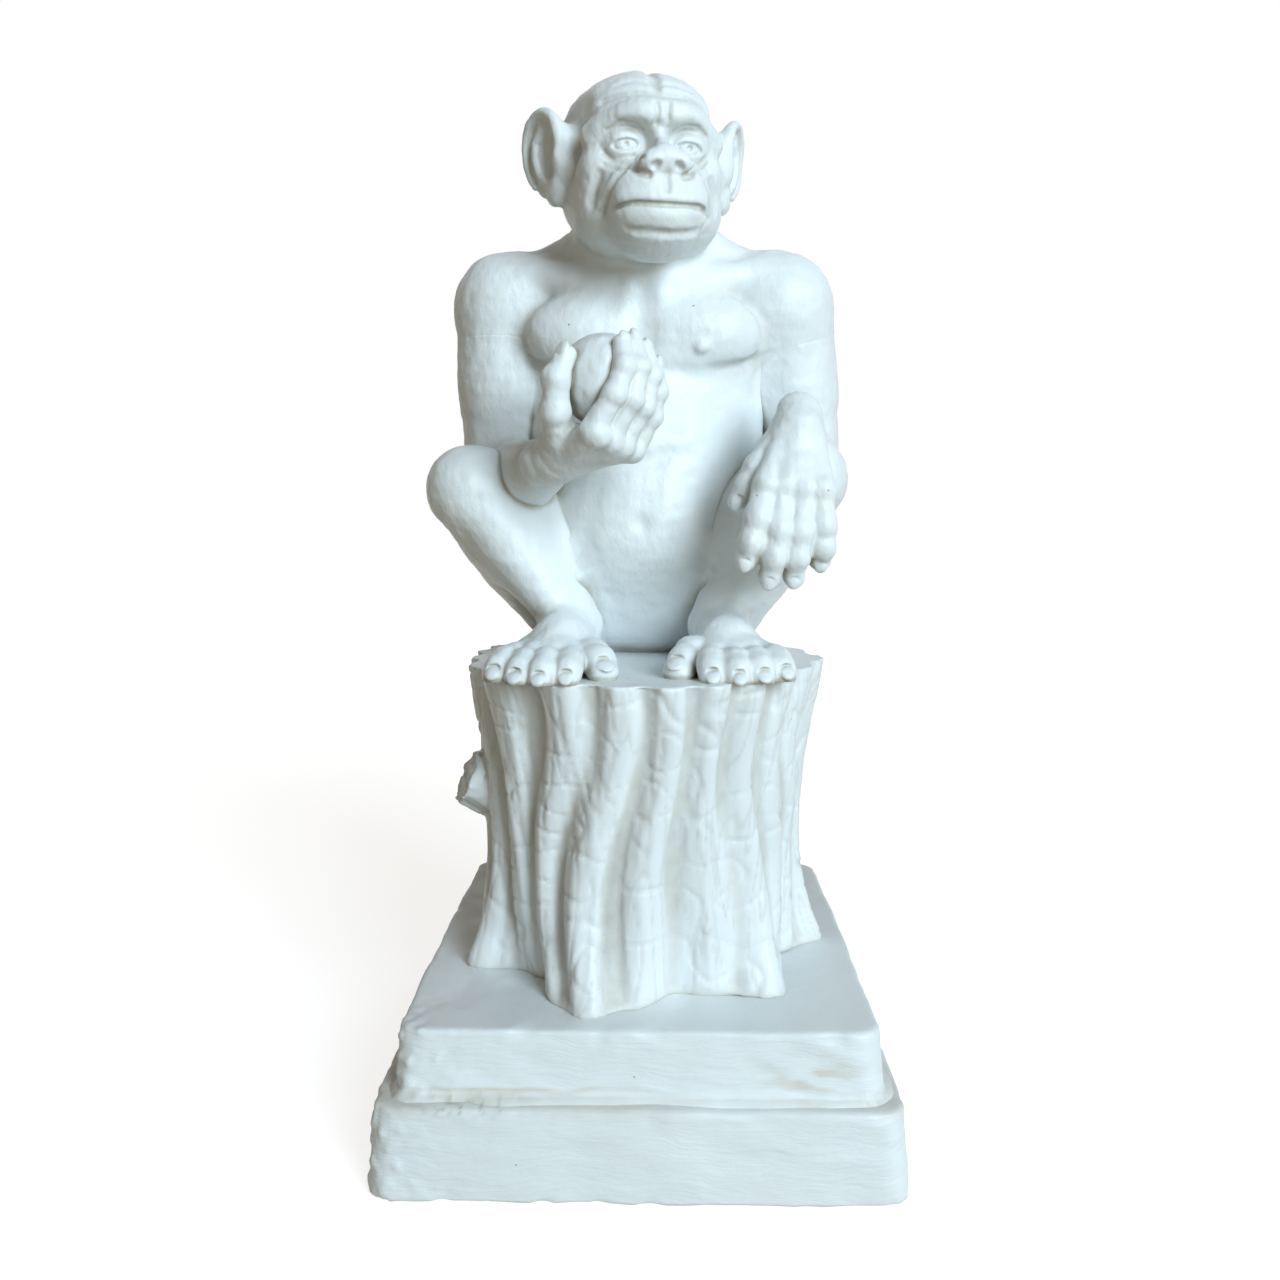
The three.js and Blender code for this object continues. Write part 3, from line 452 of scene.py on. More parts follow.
def felt():
    material, nodes, links, shader = new_material("grey needled felt")
    place = nodes.new("ShaderNodeTexCoord").outputs["Object"]
    fibres = noise(nodes, links, place, scale=2600, detail=5.0, roughness=0.7)
    tufts = noise(nodes, links, place, scale=420, detail=3.0)
    blend = math_node(nodes, links, "MULTIPLY_ADD", tufts, 0.5, fibres)
    links.new(mix_colours(nodes, links, blend, *FELT_GREYS), shader.inputs["Base Color"])
    with_relief(nodes, links, shader, blend, 0.0003, strength=0.9)
    shader.inputs["Roughness"].default_value = 0.95
    shader.inputs["Sheen Weight"].default_value = 0.4
    return material


felt_material = felt()
for node, (pad_low, pad_high) in pad_boxes.items():
    size = pad_high - pad_low
    pad = primitive(
        node + "_felt", bpy.ops.mesh.primitive_cylinder_add, vertices=64, radius=size.x / 2,
        depth=size.z, end_fill_type="TRIFAN", location=(pad_low + pad_high) / 2)
    with_modifier(pad, "BEVEL", width=PAD_EDGE, segments=3, limit_method="ANGLE")
    with_modifier(pad, "SUBSURF", subdivision_type="SIMPLE", levels=2, render_levels=2)
    pad_points = points_of(pad)
    fuzz = unevenness(21, 0.0016)(pad_points) * FUZZ
    move_points(pad, np.clip(pad_points + normals_of(pad) * fuzz[:, None], pad_low, pad_high))
    dressed(pad, node, felt_material)


# Threaded rod, nut, washer, dowels and pins: zinc-plated steel. The rod runs from inside the lower
# step up through the stump into the ape, the nut pulls the castings together, and the dowels and
# pins hold the limbs and the head. Their solids are true to size, so only the metal is added.

ZINC = ((0.50, 0.51, 0.53, 1), (0.66, 0.66, 0.65, 1))


def steel():
    material, nodes, links, shader = new_material("zinc-plated steel")
    place = nodes.new("ShaderNodeTexCoord").outputs["Object"]
    spangle = noise(nodes, links, place, scale=900, detail=3.0)
    scuffs = noise(nodes, links, place, scale=4200)
    links.new(mix_colours(nodes, links, spangle, *ZINC), shader.inputs["Base Color"])
    links.new(math_node(nodes, links, "MULTIPLY_ADD", spangle, 0.25, 0.25), shader.inputs["Roughness"])
    with_relief(nodes, links, shader, scuffs, 0.00003)
    shader.inputs["Metallic"].default_value = 1.0
    return material


steel_material = steel()
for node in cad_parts:
    if node.endswith(("_dowel", "_pin")) or node in ("armature_rod", "rod_washer", "rod_nut"):
        carried = bpy.data.objects[node]
        for place in carried.material_slots:
            place.material = steel_material


# Upper step of the plinth: a solid casting keyed into the lower one. The joint between them was
# filled by hand, so a wavy bead of plaster runs all round it.

BEAD = 0.0026
BURIED = 0.0028
SMUDGES_AT = (0.047, -0.071, 0.031)
SMUDGES_REACH = np.array((0.013, 0.006, 0.006))

low = Vector((upper_box[0].x, upper_box[0].y, LEDGE - BURIED))
high = Vector((upper_box[1].x, upper_box[1].y, STUMP_BASE))
plinth_upper = block("upper_step_casting", low, high)
in_one_skin(plinth_upper, PLINTH_VOXEL, softness=5)
worn(plinth_upper, 13, (low, high), BURIED)
upper_points = points_of(plinth_upper)
above = upper_points[:, 2] - LEDGE
bead_reach = BEAD * (1 + 0.3 * unevenness(17, 0.022)(upper_points))
into_corner = np.clip(1 - above / bead_reach, 0, 1)
bead = bead_reach * (1 - np.sqrt(1 - into_corner ** 2))
outwards = normals_of(plinth_upper) * (1, 1, 0)
outwards /= np.maximum(np.linalg.norm(outwards, axis=1, keepdims=True), 1e-6)
on_sides = np.abs(normals_of(plinth_upper)[:, 2:]) < 0.8
move_points(plinth_upper, upper_points + bead[:, None] * outwards * on_sides)
upper_points = points_of(plinth_upper)
# Dirt and painted shade in the corner of the seam, at the foot of this step
keep_on_points(plinth_upper, "hollow", seam_dirt_and_shade(upper_points, upper_box[1], LEDGE, 0.0016))
smudges = bell(upper_points - SMUDGES_AT, SMUDGES_REACH).prod(axis=1)
smudges *= np.clip(unevenness(19, 0.005)(upper_points * (0.5, 0.5, 1.4)) * 0.8 + 0.25, 0, 1)
stains = seam_stain(upper_points, LEDGE + 0.0005, 9)
keep_on_points(plinth_upper, "stain", np.clip(stains + 0.55 * smudges, 0, 1))
dressed(plinth_upper, "plinth_upper", plinth_paint)


# Stump: a hollow casting of a sawn trunk. Its bark runs into seven roots at the foot, a branch has
# broken off on one side, and growth rings show on the sawn top.

MM = 0.001

# The trunk and its branch, in millimetres
TRUNK_HEIGHT = 92
TRUNK_TOP = (57, 61)
TRUNK_WAIST = (47, 50)
TRUNK_FOOT = (51, 54)
TRUNK_MIDDLE = -4
ROOTS = 7
ROOT_REACH = 8
BARK_RIBS = 21
BARK_RELIEF = 1.1
TOP_MEAN = 59  # half width of the sawn top, with its bark
TOP_WOOD = 53  # and without it
BRANCH = {"root": (-37, -14, 48), "along": (-0.88, -0.28, 0.38), "length": 21, "radius": 8.5}

# The joint under it and the relief of its skin, in metres
STUMP_VOXEL = 0.0009
STUMP_SUNK = 0.0004
PLATE_HEIGHT = 0.0003
FINE_RELIEF = 0.00022
GRAIN_RELIEF = 0.00009
FURROW_DEPTH = 0.0009
SIDE_FURROW_DEPTH = 0.00035
SPLIT_DEPTH = 0.00055
RING_SPACING = 0.0042
RING_DEPTH = 0.00018
BARK_STEP = 0.0007
RING_WANDER = 0.0012
DRYING_CRACKS = ((-1.15, 0.030), (2.5, 0.022), (0.4, 0.034))  # direction, and start from the pith
CRACK_DEPTH = 0.0013
CRACK_WIDTH = 0.0006  # where it starts
CRACK_OPENING = 0.03  # how much wider it gets for each metre on
MEAN_RADIUS = 0.052
BROKEN_END_REACH = 0.011
END_RING_SPACING = 0.0026
END_RING_DEPTH = 0.0004
SPLINTERS = 0.0005
TRUNK_SWELL = 0.00035

trunk_top = STUMP_BASE + TRUNK_HEIGHT * MM


def bark_rib(angle, share):
    """The large ribs of the bark, which wander a little as they climb."""
    wander = 1.6 * np.sin(3 * angle + 4 * share) + 1.2 * np.sin(2 * angle - 6 * share + 1)
    return np.cos(BARK_RIBS * angle + wander)


def trunk_reach(angle, share):
    """Half widths of the trunk at a share of its height, in millimetres, with its roots and ribs."""
    flare, spread = (1 - share) ** 3, share ** 2
    lobe = np.cos(ROOTS * angle + 0.8 * np.sin(2 * angle))
    root = ROOT_REACH * np.exp(-5 * share) * lobe
    rim = 1.6 * share ** 3 * np.sin(5 * angle + 1) + BARK_RELIEF * bark_rib(angle, share)
    return [waist + (foot - waist) * flare + (top - waist) * spread + root + rim
            for waist, foot, top in zip(TRUNK_WAIST, TRUNK_FOOT, TRUNK_TOP)]


trunk = primitive(
    "stump_casting", bpy.ops.mesh.primitive_cylinder_add, vertices=224, radius=1, depth=1,
    end_fill_type="TRIFAN", location=(0, 0, 0.5))
edit_only(trunk, "EDGE", lambda line: abs(line.z) > 0.9)
bpy.ops.mesh.subdivide_edgering(number_cuts=40, smoothness=0)
bpy.ops.object.mode_set(mode="OBJECT")
unit = points_of(trunk)
angle, share = np.arctan2(unit[:, 1], unit[:, 0]), unit[:, 2]
reach = trunk_reach(angle, share)
radius = np.hypot(unit[:, 0], unit[:, 1])
move_points(trunk, np.column_stack([
    np.cos(angle) * radius * reach[0] * MM,
    (np.sin(angle) * radius * reach[1] + TRUNK_MIDDLE) * MM,
    STUMP_BASE - STUMP_SUNK + share * (TRUNK_HEIGHT * MM + STUMP_SUNK)]))

branch_along = Vector(BRANCH["along"]).normalized()
branch_root = Vector(BRANCH["root"]) * MM + Vector((0, 0, STUMP_BASE))
branch_tip = branch_root + branch_along * BRANCH["length"] * MM
upright_to_branch = Vector((0, 0, 1)).rotation_difference(branch_along).to_euler()
branch = primitive(
    "branch", bpy.ops.mesh.primitive_cone_add, vertices=48, radius1=BRANCH["radius"] * 1.35 * MM,
    radius2=BRANCH["radius"] * MM, depth=BRANCH["length"] * MM,
    location=(branch_root + branch_tip) / 2, rotation=upright_to_branch)
stump = joined([trunk, branch])
in_one_skin(stump, STUMP_VOXEL, softness=4)

points, normals = points_of(stump), normals_of(stump)
middle = np.array((0, TRUNK_MIDDLE * MM, 0))
angle = np.arctan2((points[:, 1] - middle[1]) * TRUNK_TOP[0] / TRUNK_TOP[1], points[:, 0])
share = np.clip((points[:, 2] - STUMP_BASE) / (TRUNK_HEIGHT * MM), 0, 1)
branch_way, from_tip = np.array(branch_along), points - np.array(branch_tip)
near_tip = np.linalg.norm(from_tip, axis=1) < BROKEN_END_REACH
on_top = np.clip((normals[:, 2] - 0.55) / 0.3, 0, 1) * (share > 0.9)
on_branch_end = np.clip((normals @ branch_way - 0.6) / 0.3, 0, 1) * near_tip
on_bark = (1 - on_top) * (1 - on_branch_end)

# Bark: the ribs are flat plates between sharp furrows, split along and across here and there
girth = np.column_stack([np.cos(angle), np.sin(angle), 0 * angle]) * MEAN_RADIUS
around = girth + np.column_stack([0 * share, 0 * share, share * 0.022])
wander = unevenness(31, 0.030)(around) * 0.0035
ribs = bark_rib(angle, share) + 0.35 * unevenness(32, 0.016)(around)
fine = unevenness(33, 0.0055)(girth + np.column_stack([wander, wander, share * 0.010]))
grain = unevenness(39, 0.0030)(girth + np.column_stack([wander, wander, share * 0.006]))
splits = unevenness(34, 0.012)(girth * 0.5 + np.column_stack([wander, 0 * wander, share * 0.085]))
furrows = bell(np.clip(ribs + 1, 0, None), 0.34)
side_furrows = bell(fine, 0.13) * (1 - furrows)
bark = PLATE_HEIGHT * np.tanh(2 * ribs) + FINE_RELIEF * fine + GRAIN_RELIEF * grain
bark -= FURROW_DEPTH * furrows
bark -= SIDE_FURROW_DEPTH * side_furrows + SPLIT_DEPTH * bell(splits, 0.13) * (1 - furrows)
settle_at_foot = np.clip(share / 0.03, 0.15, 1)

# Growth rings, with drying cracks that open towards the bark
across = np.hypot(points[:, 0] / TRUNK_TOP[0], (points[:, 1] - middle[1]) / TRUNK_TOP[1])
across *= TOP_MEAN * MM
across += unevenness(35, 0.05)(points) * RING_WANDER
rings = np.sin(across * 2 * math.pi / RING_SPACING) * RING_DEPTH
bark_edge = -BARK_STEP * bell(across / MM - TOP_WOOD, 0.9)
cracks = np.zeros(len(points))
for crack_angle, crack_start in DRYING_CRACKS:
    bend = unevenness(36, 0.02)(points) * 0.02
    off = np.sin(angle - crack_angle - bend) * across
    open_width = CRACK_WIDTH + CRACK_OPENING * np.clip(across - crack_start, 0, None)
    ahead = (np.cos(angle - crack_angle) > 0) & (across > crack_start)
    cracks -= CRACK_DEPTH * bell(off, open_width) * ahead
top_relief = rings + bark_edge + cracks

# The broken end of the branch has rings too, and splinters
from_pith = np.linalg.norm(from_tip - (from_tip @ branch_way)[:, None] * branch_way, axis=1)
end_relief = END_RING_DEPTH * np.cos(from_pith * 2 * math.pi / END_RING_SPACING)
end_relief += SPLINTERS * unevenness(37, 0.004)(points)
relief = bark * on_bark * settle_at_foot + top_relief * on_top + end_relief * on_branch_end
relief += TRUNK_SWELL * unevenness(38, 0.03)(points) * on_bark
points += normals * relief[:, None]
points[:, 2] = np.clip(points[:, 2], STUMP_BASE - STUMP_SUNK, trunk_top + 0.0001)
move_points(stump, points)
with_modifier(stump, "SMOOTH", factor=0.35, iterations=1)

# Dirt and painted shade in the furrows and cracks and at the bark's edge on the sawn top, and darker
# towards the foot, where the stump meets the plinth
dirt_and_shade = (furrows * 0.6 + side_furrows * 0.3) * on_bark * settle_at_foot
dirt_and_shade -= cracks / CRACK_DEPTH * on_top * 0.6
dirt_and_shade += 0.5 * np.exp(-share * TRUNK_HEIGHT / 2.0) + 0.3 * on_top * (bark_edge < -0.0003)
keep_on_points(stump, "hollow", np.clip(dirt_and_shade, 0, 1))
keep_on_points(stump, "stain", 0.25 * np.exp(-share * TRUNK_HEIGHT / 1.2))
bark_paint = painted("white paint brushed down the bark", (420, 420, 90), brush_depth=0.5)
dressed(stump, "stump", bark_paint)


# Ape, torso: a solid casting with the stubs of the neck, arms and thighs, which the other castings
# are pinned to. It was modelled in clay as lumps of muscle and fat pressed onto each other.

SEAT = trunk_top / MM  # the ape's own heights are in millimetres above the sawn top
BODY_VOXEL = 0.95
FILLER = 1.2  # how far a casting runs past the middle of its joint, into the filler

# The joints of the skeleton on the ape's left, 1, and on its right, -1
hip = {1: (22, 18, 22), -1: (-22, 18, 22)}
knee = {1: (50.7, -17.2, 58.1), -1: (-53.8, -17.7, 54.9)}
ankle = {1: (25, -14, 13), -1: (-23, -17, 13)}
shoulder = {1: (46, 9, 118), -1: (-46, 9, 118)}
elbow = {1: (58.3, 21.7, 57.5), -1: (-48.4, 7, 55.1)}
wrist = {1: (47.7, -34.2, 73.1), -1: (-23.9, -45.8, 64.4)}
neck_joint = ((0, -2, 138), (0, -0.447, 0.894))


def unit_vector(vector):
    return np.array(vector, float) / np.linalg.norm(vector)


def joint_plane(limit):
    """The place and the direction of the flat end of a casting at a joint."""
    at, beyond = np.array(limit[0], float), unit_vector(limit[1])
    return at + FILLER * beyond, beyond


def along(start, end, share):
    return np.array(start, float) + (np.array(end, float) - np.array(start, float)) * share


def egg(centre, radii, blend=5.0, turn=None, cut=False, limit=None):
    """A rounded lump of clay, or a thumb mark where it is cut away."""
    turn = np.eye(3) if turn is None else turn
    return {"kind": "egg", "centre": np.array(centre, float), "radii": np.array(radii, float),
            "turn": turn, "blend": blend, "cut": cut, "limit": limit}


def ball(centre, radius, **how):
    return egg(centre, (radius, radius, radius), **how)


def roll(path, radii, blend=5.0, bulge=0.0, cut=False, limit=None, flat=None):
    """A roll of clay laid along a path, which may swell in the middle or be pressed flat."""
    return {"kind": "roll", "path": np.array(path, float), "radii": np.array(radii, float),
            "bulge": bulge, "blend": blend, "cut": cut, "limit": limit, "flat": flat}


def turned(x=0.0, y=0.0, z=0.0):
    return np.array(Matrix.Rotation(z, 3, "Z") @ Matrix.Rotation(y, 3, "Y") @ Matrix.Rotation(x, 3, "X"))


def placed(lumps, axes, origin, size=1.0):
    """Lumps modelled on the bench, set at their place on the figure. The axes are columns."""
    axes, origin = np.array(axes, float), np.array(origin, float)
    moved = []
    for lump in lumps:
        lump = dict(lump)
        lump["radii"] = lump["radii"] * size
        lump["blend"] = lump["blend"] * size
        if lump["kind"] == "egg":
            lump["centre"] = axes @ lump["centre"] * size + origin
            lump["turn"] = axes @ lump["turn"]
        else:
            lump["path"] = lump["path"] @ axes.T * size + origin
            lump["bulge"] = lump["bulge"] * size
            if lump["flat"] is not None:
                lump["flat"] = (axes @ np.array(lump["flat"][0], float), lump["flat"][1])
        moved.append(lump)
    return moved


def egg_distance(points, lump):
    inside = (points - lump["centre"]) @ lump["turn"] / lump["radii"]
    size = np.linalg.norm(inside, axis=1)
    slope = np.linalg.norm(inside / lump["radii"], axis=1)
    return size * (size - 1) / np.maximum(slope, 1e-6)


def roll_distance(points, lump):
    path, radii = lump["path"], lump["radii"]
    nearest = np.full(len(points), np.inf)
    for i in range(len(path) - 1):
        line = path[i + 1] - path[i]
        share = np.clip((points - path[i]) @ line / (line @ line), 0, 1)
        radius = radii[i] + (radii[i + 1] - radii[i]) * share + lump["bulge"] * 4 * share * (1 - share)
        off = points - path[i] - share[:, None] * line
        if lump["flat"] is not None:
            side, flatness = lump["flat"]
            off = off + (1 / flatness - 1) * (off @ np.array(side))[:, None] * np.array(side)
        nearest = np.minimum(nearest, np.linalg.norm(off, axis=1) - radius)
    return nearest


def lump_distance(points, lump):
    distance = egg_distance(points, lump) if lump["kind"] == "egg" else roll_distance(points, lump)
    if lump["limit"] is not None:
        at, beyond = joint_plane(lump["limit"])
        distance = np.maximum(distance, (points - at) @ beyond)
    return distance


def lump_bounds(lump, margin=14.0):
    if lump["kind"] == "egg":
        reach = lump["radii"].max() + margin
        return lump["centre"] - reach, lump["centre"] + reach
    reach = lump["radii"].max() + abs(lump["bulge"]) + margin
    return lump["path"].min(axis=0) - reach, lump["path"].max(axis=0) + reach


FAR = 40.0  # millimetres, where no lump is near


def clay_distance(points, lumps):
    """Distance from the skin of the clay, where each lump is smoothed into those before it."""
    distance = np.full(len(points), FAR)
    for lump in lumps:
        low, high = lump_bounds(lump)
        near = np.all((points > low) & (points < high), axis=1)
        if not near.any():
            continue
        here, there = distance[near], lump_distance(points[near], lump)
        side = -1 if lump["cut"] else 1
        overlap = np.clip(lump["blend"] - np.abs(side * here - there), 0, None)
        least = np.minimum(side * here, there) - overlap ** 2 / (4 * lump["blend"])
        distance[near] = side * least
    return distance


def primitives_for(lump):
    """The balls and cones that a lump is roughed out from."""
    if lump["kind"] == "egg":
        turn = Matrix(lump["turn"].tolist()).to_euler()
        bpy.ops.mesh.primitive_uv_sphere_add(
            segments=20, ring_count=12, radius=1, location=lump["centre"], rotation=turn,
            scale=lump["radii"])
        return [settled(bpy.context.object)]
    made = []
    path, radii = lump["path"], lump["radii"]
    for centre, radius in zip(path, radii):
        bpy.ops.mesh.primitive_uv_sphere_add(segments=20, ring_count=12, radius=radius, location=centre)
        made.append(settled(bpy.context.object))
    for i in range(len(path) - 1):
        line = Vector(path[i + 1] - path[i])
        turn = Vector((0, 0, 1)).rotation_difference(line).to_euler()
        bpy.ops.mesh.primitive_cone_add(
            vertices=20, radius1=radii[i], radius2=radii[i + 1], depth=line.length,
            location=Vector(path[i]) + line / 2, rotation=turn)
        made.append(settled(bpy.context.object))
    return made


def roughed_out(name, lumps, voxel):
    """The larger lumps of a casting, pressed together into one skin."""
    made = []
    for lump in lumps:
        if lump["cut"] or lump["radii"].min() < 1.5 * voxel:
            continue
        for piece in primitives_for(lump):
            if lump["limit"] is not None:
                at, beyond = joint_plane(lump["limit"])
                select_only(piece)
                bpy.ops.object.mode_set(mode="EDIT")
                bpy.ops.mesh.select_all(action="SELECT")
                bpy.ops.mesh.bisect(plane_co=at, plane_no=beyond, use_fill=True, clear_outer=True)
                bpy.ops.object.mode_set(mode="OBJECT")
            # A ball that lies beyond its joint has been cut away whole
            if len(piece.data.polygons) > 3:
                made.append(piece)
            else:
                bpy.data.objects.remove(piece)
    rough = joined(made)
    rough.name = name + "_casting"
    rough.data.name = rough.name
    in_one_skin(rough, voxel, softness=2)
    return rough


def neighbour_pull(piece):
    """A function that gives the way from each point to the middle of its neighbours, and the usual
    distance between neighbours."""
    edges = np.empty(len(piece.data.edges) * 2, dtype=np.int64)
    piece.data.edges.foreach_get("vertices", edges)
    start, end = edges.reshape(-1, 2).T
    count = len(piece.data.vertices)
    ways = np.bincount(start, minlength=count) + np.bincount(end, minlength=count)

    def pull(points):
        total = np.column_stack([
            np.bincount(start, weights=points[end, axis], minlength=count)
            + np.bincount(end, weights=points[start, axis], minlength=count) for axis in range(3)])
        return total / np.maximum(ways, 1)[:, None] - points

    points = points_of(piece)
    return pull, float(np.median(np.linalg.norm(points[end] - points[start], axis=1)))


def pushed_in(piece, pull, spacing, push, slip):
    """Pushes the skin in, and lets it slide along itself so that its points stay evenly spread. A
    point that has come loose goes back between its neighbours."""
    points, normals = points_of(piece), normals_of(piece)
    slide = pull(points)
    loose = np.linalg.norm(slide, axis=1) > 0.6 * spacing
    along_skin = slide - (slide * normals).sum(axis=1, keepdims=True) * normals
    step = slip * along_skin - push[:, None] * normals
    step[loose] = 0.8 * slide[loose]
    move_points(piece, points + step)


def pressed_to_shape(piece, lumps, rounds):
    """Moves the skin onto the smoothed clay."""
    pull, spacing = neighbour_pull(piece)
    for _ in range(rounds):
        push = np.clip(clay_distance(points_of(piece), lumps), -1.5, 1.5)
        pushed_in(piece, pull, spacing, 0.9 * push, 0.4)


figure = {}


def cast(name, lumps, voxel):
    """Makes a casting, and keeps it in the figure with the lumps that give its shape."""
    piece = roughed_out(name, lumps, voxel)
    pressed_to_shape(piece, lumps, 6)
    in_one_skin(piece, voxel, softness=0)
    pressed_to_shape(piece, lumps, 6)
    figure[name] = (piece, lumps)


def arm_joint(side):
    return along(shoulder[side], elbow[side], 0.2), unit_vector(np.subtract(elbow[side], shoulder[side]))


def hip_joint(side):
    return along(hip[side], knee[side], 0.36), unit_vector(np.subtract(knee[side], hip[side]))


def torso_lumps():
    lumps = [
        egg((0, 24, 20), (38, 30, 25)),
        egg((0, 12, 46), (40, 35, 31), blend=14),
        egg((0, 11, 76), (41, 32, 32), blend=14),
        egg((0, 9, 102), (43, 29, 27), blend=10),
        roll([(0, 10, 122), (0, -3, 152)], (26, 20), blend=12, limit=neck_joint),
    ]
    for side in (-1, 1):
        lumps += [
            egg((side * 18, 30, 16), (21, 22, 16), blend=6),
            egg((side * 19, -10, 106), (19, 12, 13), blend=6),
            egg((side * 22, 29, 105), (17, 9.5, 21), blend=7, turn=turned(0.06, side * 0.1)),
            roll([(0, 8, 138), (side * 38, 12, 124)], (14, 12), blend=10, limit=neck_joint),
            roll([(side * 5, -14, 119), (side * 36, -3, 127)], (4.0, 4.2), blend=6),
            roll([shoulder[side], elbow[side]], (17.5, 12), blend=7, bulge=1, limit=arm_joint(side)),
            egg(np.add(shoulder[side], (side * 0.5, -1, 0)), (17, 17.5, 17), blend=5,
                limit=arm_joint(side)),
            roll([hip[side], knee[side]], (22, 14), blend=9, bulge=2, limit=hip_joint(side)),
            egg((side * 19, -20.9, 100.5), (2.2, 1.3, 2.0), blend=1.6),
            roll([(side * 3, -22, 93), (side * 20, -20, 90.5), (side * 36, -8, 97)], (1.6, 1.8, 1.2),
                 blend=4, cut=True),
            roll([(side * 24, -18, 30), (side * 12, -21, 17), (side * 3, -18, 12)], (1.4, 1.6, 1.2),
                 blend=4, cut=True),
        ]
    lumps += [
        roll([(0, 53, 34), (0, 50.5, 56), (0, 46, 78), (0, 42.5, 100), (0, 38.5, 116), (0, 37, 130)],
             (1.0, 2.2, 3.0, 3.2, 2.4, 0.8), blend=10, cut=True),
        roll([(0, -22, 118), (0, -23, 96)], (1.5, 1.8), blend=6, cut=True),
        egg((0, -24.5, 44), (2.2, 2.4, 2.6), blend=3, cut=True),
        roll([(-17, -21.5, 67), (0, -23.5, 64.5), (17, -21.5, 67)], (0.9, 1.3, 0.9), blend=4, cut=True),
    ]
    return lumps


cast("torso", torso_lumps(), BODY_VOXEL)


# Ape, legs and feet: each leg is cast from the thigh to the ankle, and each foot by itself. They are
# pinned together on steel, and their joints are filled and rubbed down with the others at the end.

LEG_VOXEL = 0.75
FOOT_VOXEL = 0.42
foot_way = {1: (0.139, -0.99, 0), -1: (-0.177, -0.984, 0)}


def leg_lumps(side):
    thigh_cut = (hip_joint(side)[0], -hip_joint(side)[1])
    above_ankle = (ankle[side], (0, 0, -1))
    bend = unit_vector(np.subtract(knee[side], along(hip[side], ankle[side], 0.5)))
    calf = along(knee[side], ankle[side], 0.36) - bend * 3.5
    return [
        roll([hip[side], knee[side]], (22, 13), blend=4, bulge=2, limit=thigh_cut),
        ball(along(hip[side], knee[side], 0.62) + bend * 2.5, 13, blend=8, limit=thigh_cut),
        ball(np.add(knee[side], bend * 1.5), 12.2, blend=5),
        egg(np.add(knee[side], bend * 6 + np.array((0, -3.5, -2))), (7.5, 7, 8.5), blend=4),
        roll([knee[side], ankle[side]], (11.5, 7.2), blend=6, limit=above_ankle),
        roll([along(knee[side], calf, 0.45), calf, along(calf, ankle[side], 0.5)], (9.5, 10.5, 6.5),
             blend=7, limit=above_ankle),
        roll([along(knee[side], ankle[side], 0.15) + np.array((0, -7.5, -2)),
              along(knee[side], ankle[side], 0.9) + np.array((0, -4.5, 0))], (3.6, 2.6), blend=6,
             limit=above_ankle),
    ]


def nail(tip, outward, ahead, radius):
    """A nail, sunk a little into the back of a fingertip or a toe."""
    ahead = unit_vector(ahead - (ahead @ outward) * outward)
    side = np.cross(ahead, outward)
    turn = np.column_stack([side, ahead, outward])
    bed = tip + outward * radius * 0.74 + ahead * radius * 0.3
    wide, long = radius * 0.66, radius * 0.76
    return [egg(bed + outward * 0.8, (wide * 1.1, long * 1.1, 0.85), blend=0.5, turn=turn, cut=True),
            egg(bed, (wide, long, 0.95), blend=0.3, turn=turn)]


def digit(base, heading, bends, length, radii, shares=(0.44, 0.32, 0.24)):
    """A finger or toe of three bones, in a frame with +Y along it and its pad towards -Z."""
    places, pitch = [np.array(base, float)], 0.0
    for share, bend in zip(shares, bends):
        pitch += bend
        level = math.cos(pitch) * length * share
        step = (math.sin(heading) * level, math.cos(heading) * level, -math.sin(pitch) * length * share)
        places.append(places[-1] + np.array(step))
    radius = np.linspace(radii[0], radii[1], 4)
    out = np.array((math.sin(heading) * math.sin(pitch), math.cos(heading) * math.sin(pitch),
                    math.cos(pitch)))
    ahead = unit_vector(places[3] - places[2])
    lumps = [roll(places[:2], radius[:2], blend=1.2, bulge=0.25),
             roll(places[1:3], radius[1:3], blend=2.2, bulge=0.3),
             roll(places[2:], radius[2:], blend=2.2)]
    lumps += [ball(places[1] + out * 0.45, radius[1] * 0.98, blend=2),
              ball(places[2] + out * 0.3, radius[2] * 0.98, blend=2),
              ball(places[3] - out * 0.5, radius[3], blend=1.5)]
    lumps += nail(places[3], out, ahead, radius[3])
    return lumps


def foot_lumps(side):
    """A foot with its sole on the stump. +X in its own frame is the side of the big toe."""
    lumps = [
        egg((0, -6, 6.5), (7.8, 8.5, 6.8), blend=3),
        roll([(0, -3, 9), (0.5, 15, 8)], (8.2, 8.6), blend=4),
        roll([(0, -1, 17), (0.5, 2, 11), (1, 16, 8.5)], (7.4, 7.6, 6.2), blend=5),
        egg((0.5, 23, 5.8), (11.2, 8.5, 5.4), blend=4),
        egg((6.5, -1.5, 12.5), (3.2, 3.6, 3.6), blend=3),
        egg((-6.8, -2.5, 11.5), (3.0, 3.4, 3.4), blend=3),
        egg((-9.5, 12, 4.5), (3.5, 9, 4), blend=3),
    ]
    for toe, size in enumerate((1.0, 1.08, 1.0, 0.86)):
        share = toe / 3 - 0.5
        base = (-(share * 17.6 + 1), 28.5 - abs(share) * 3, 4.7)
        lumps += digit(base, -share * 0.3, (0.0, 0.35, 0.45), 14.5 * size, (3.9, 3.3))
        lumps.append(roll([(base[0] * 0.7, 12, 8.5), (base[0], 27, 5.8)], (2.4, 2.6), blend=2.5))
    lumps += digit((8.2, 13.5, 5.4), 0.52, (0.0, 0.2, 0.25), 20.5, (4.9, 4.1))
    across = np.cross(foot_way[side], (0, 0, 1))
    if side < 0:
        lumps = mirrored(lumps)
    return placed(lumps, np.column_stack([across, foot_way[side], (0, 0, 1)]),
                  (ankle[side][0], ankle[side][1], 0))


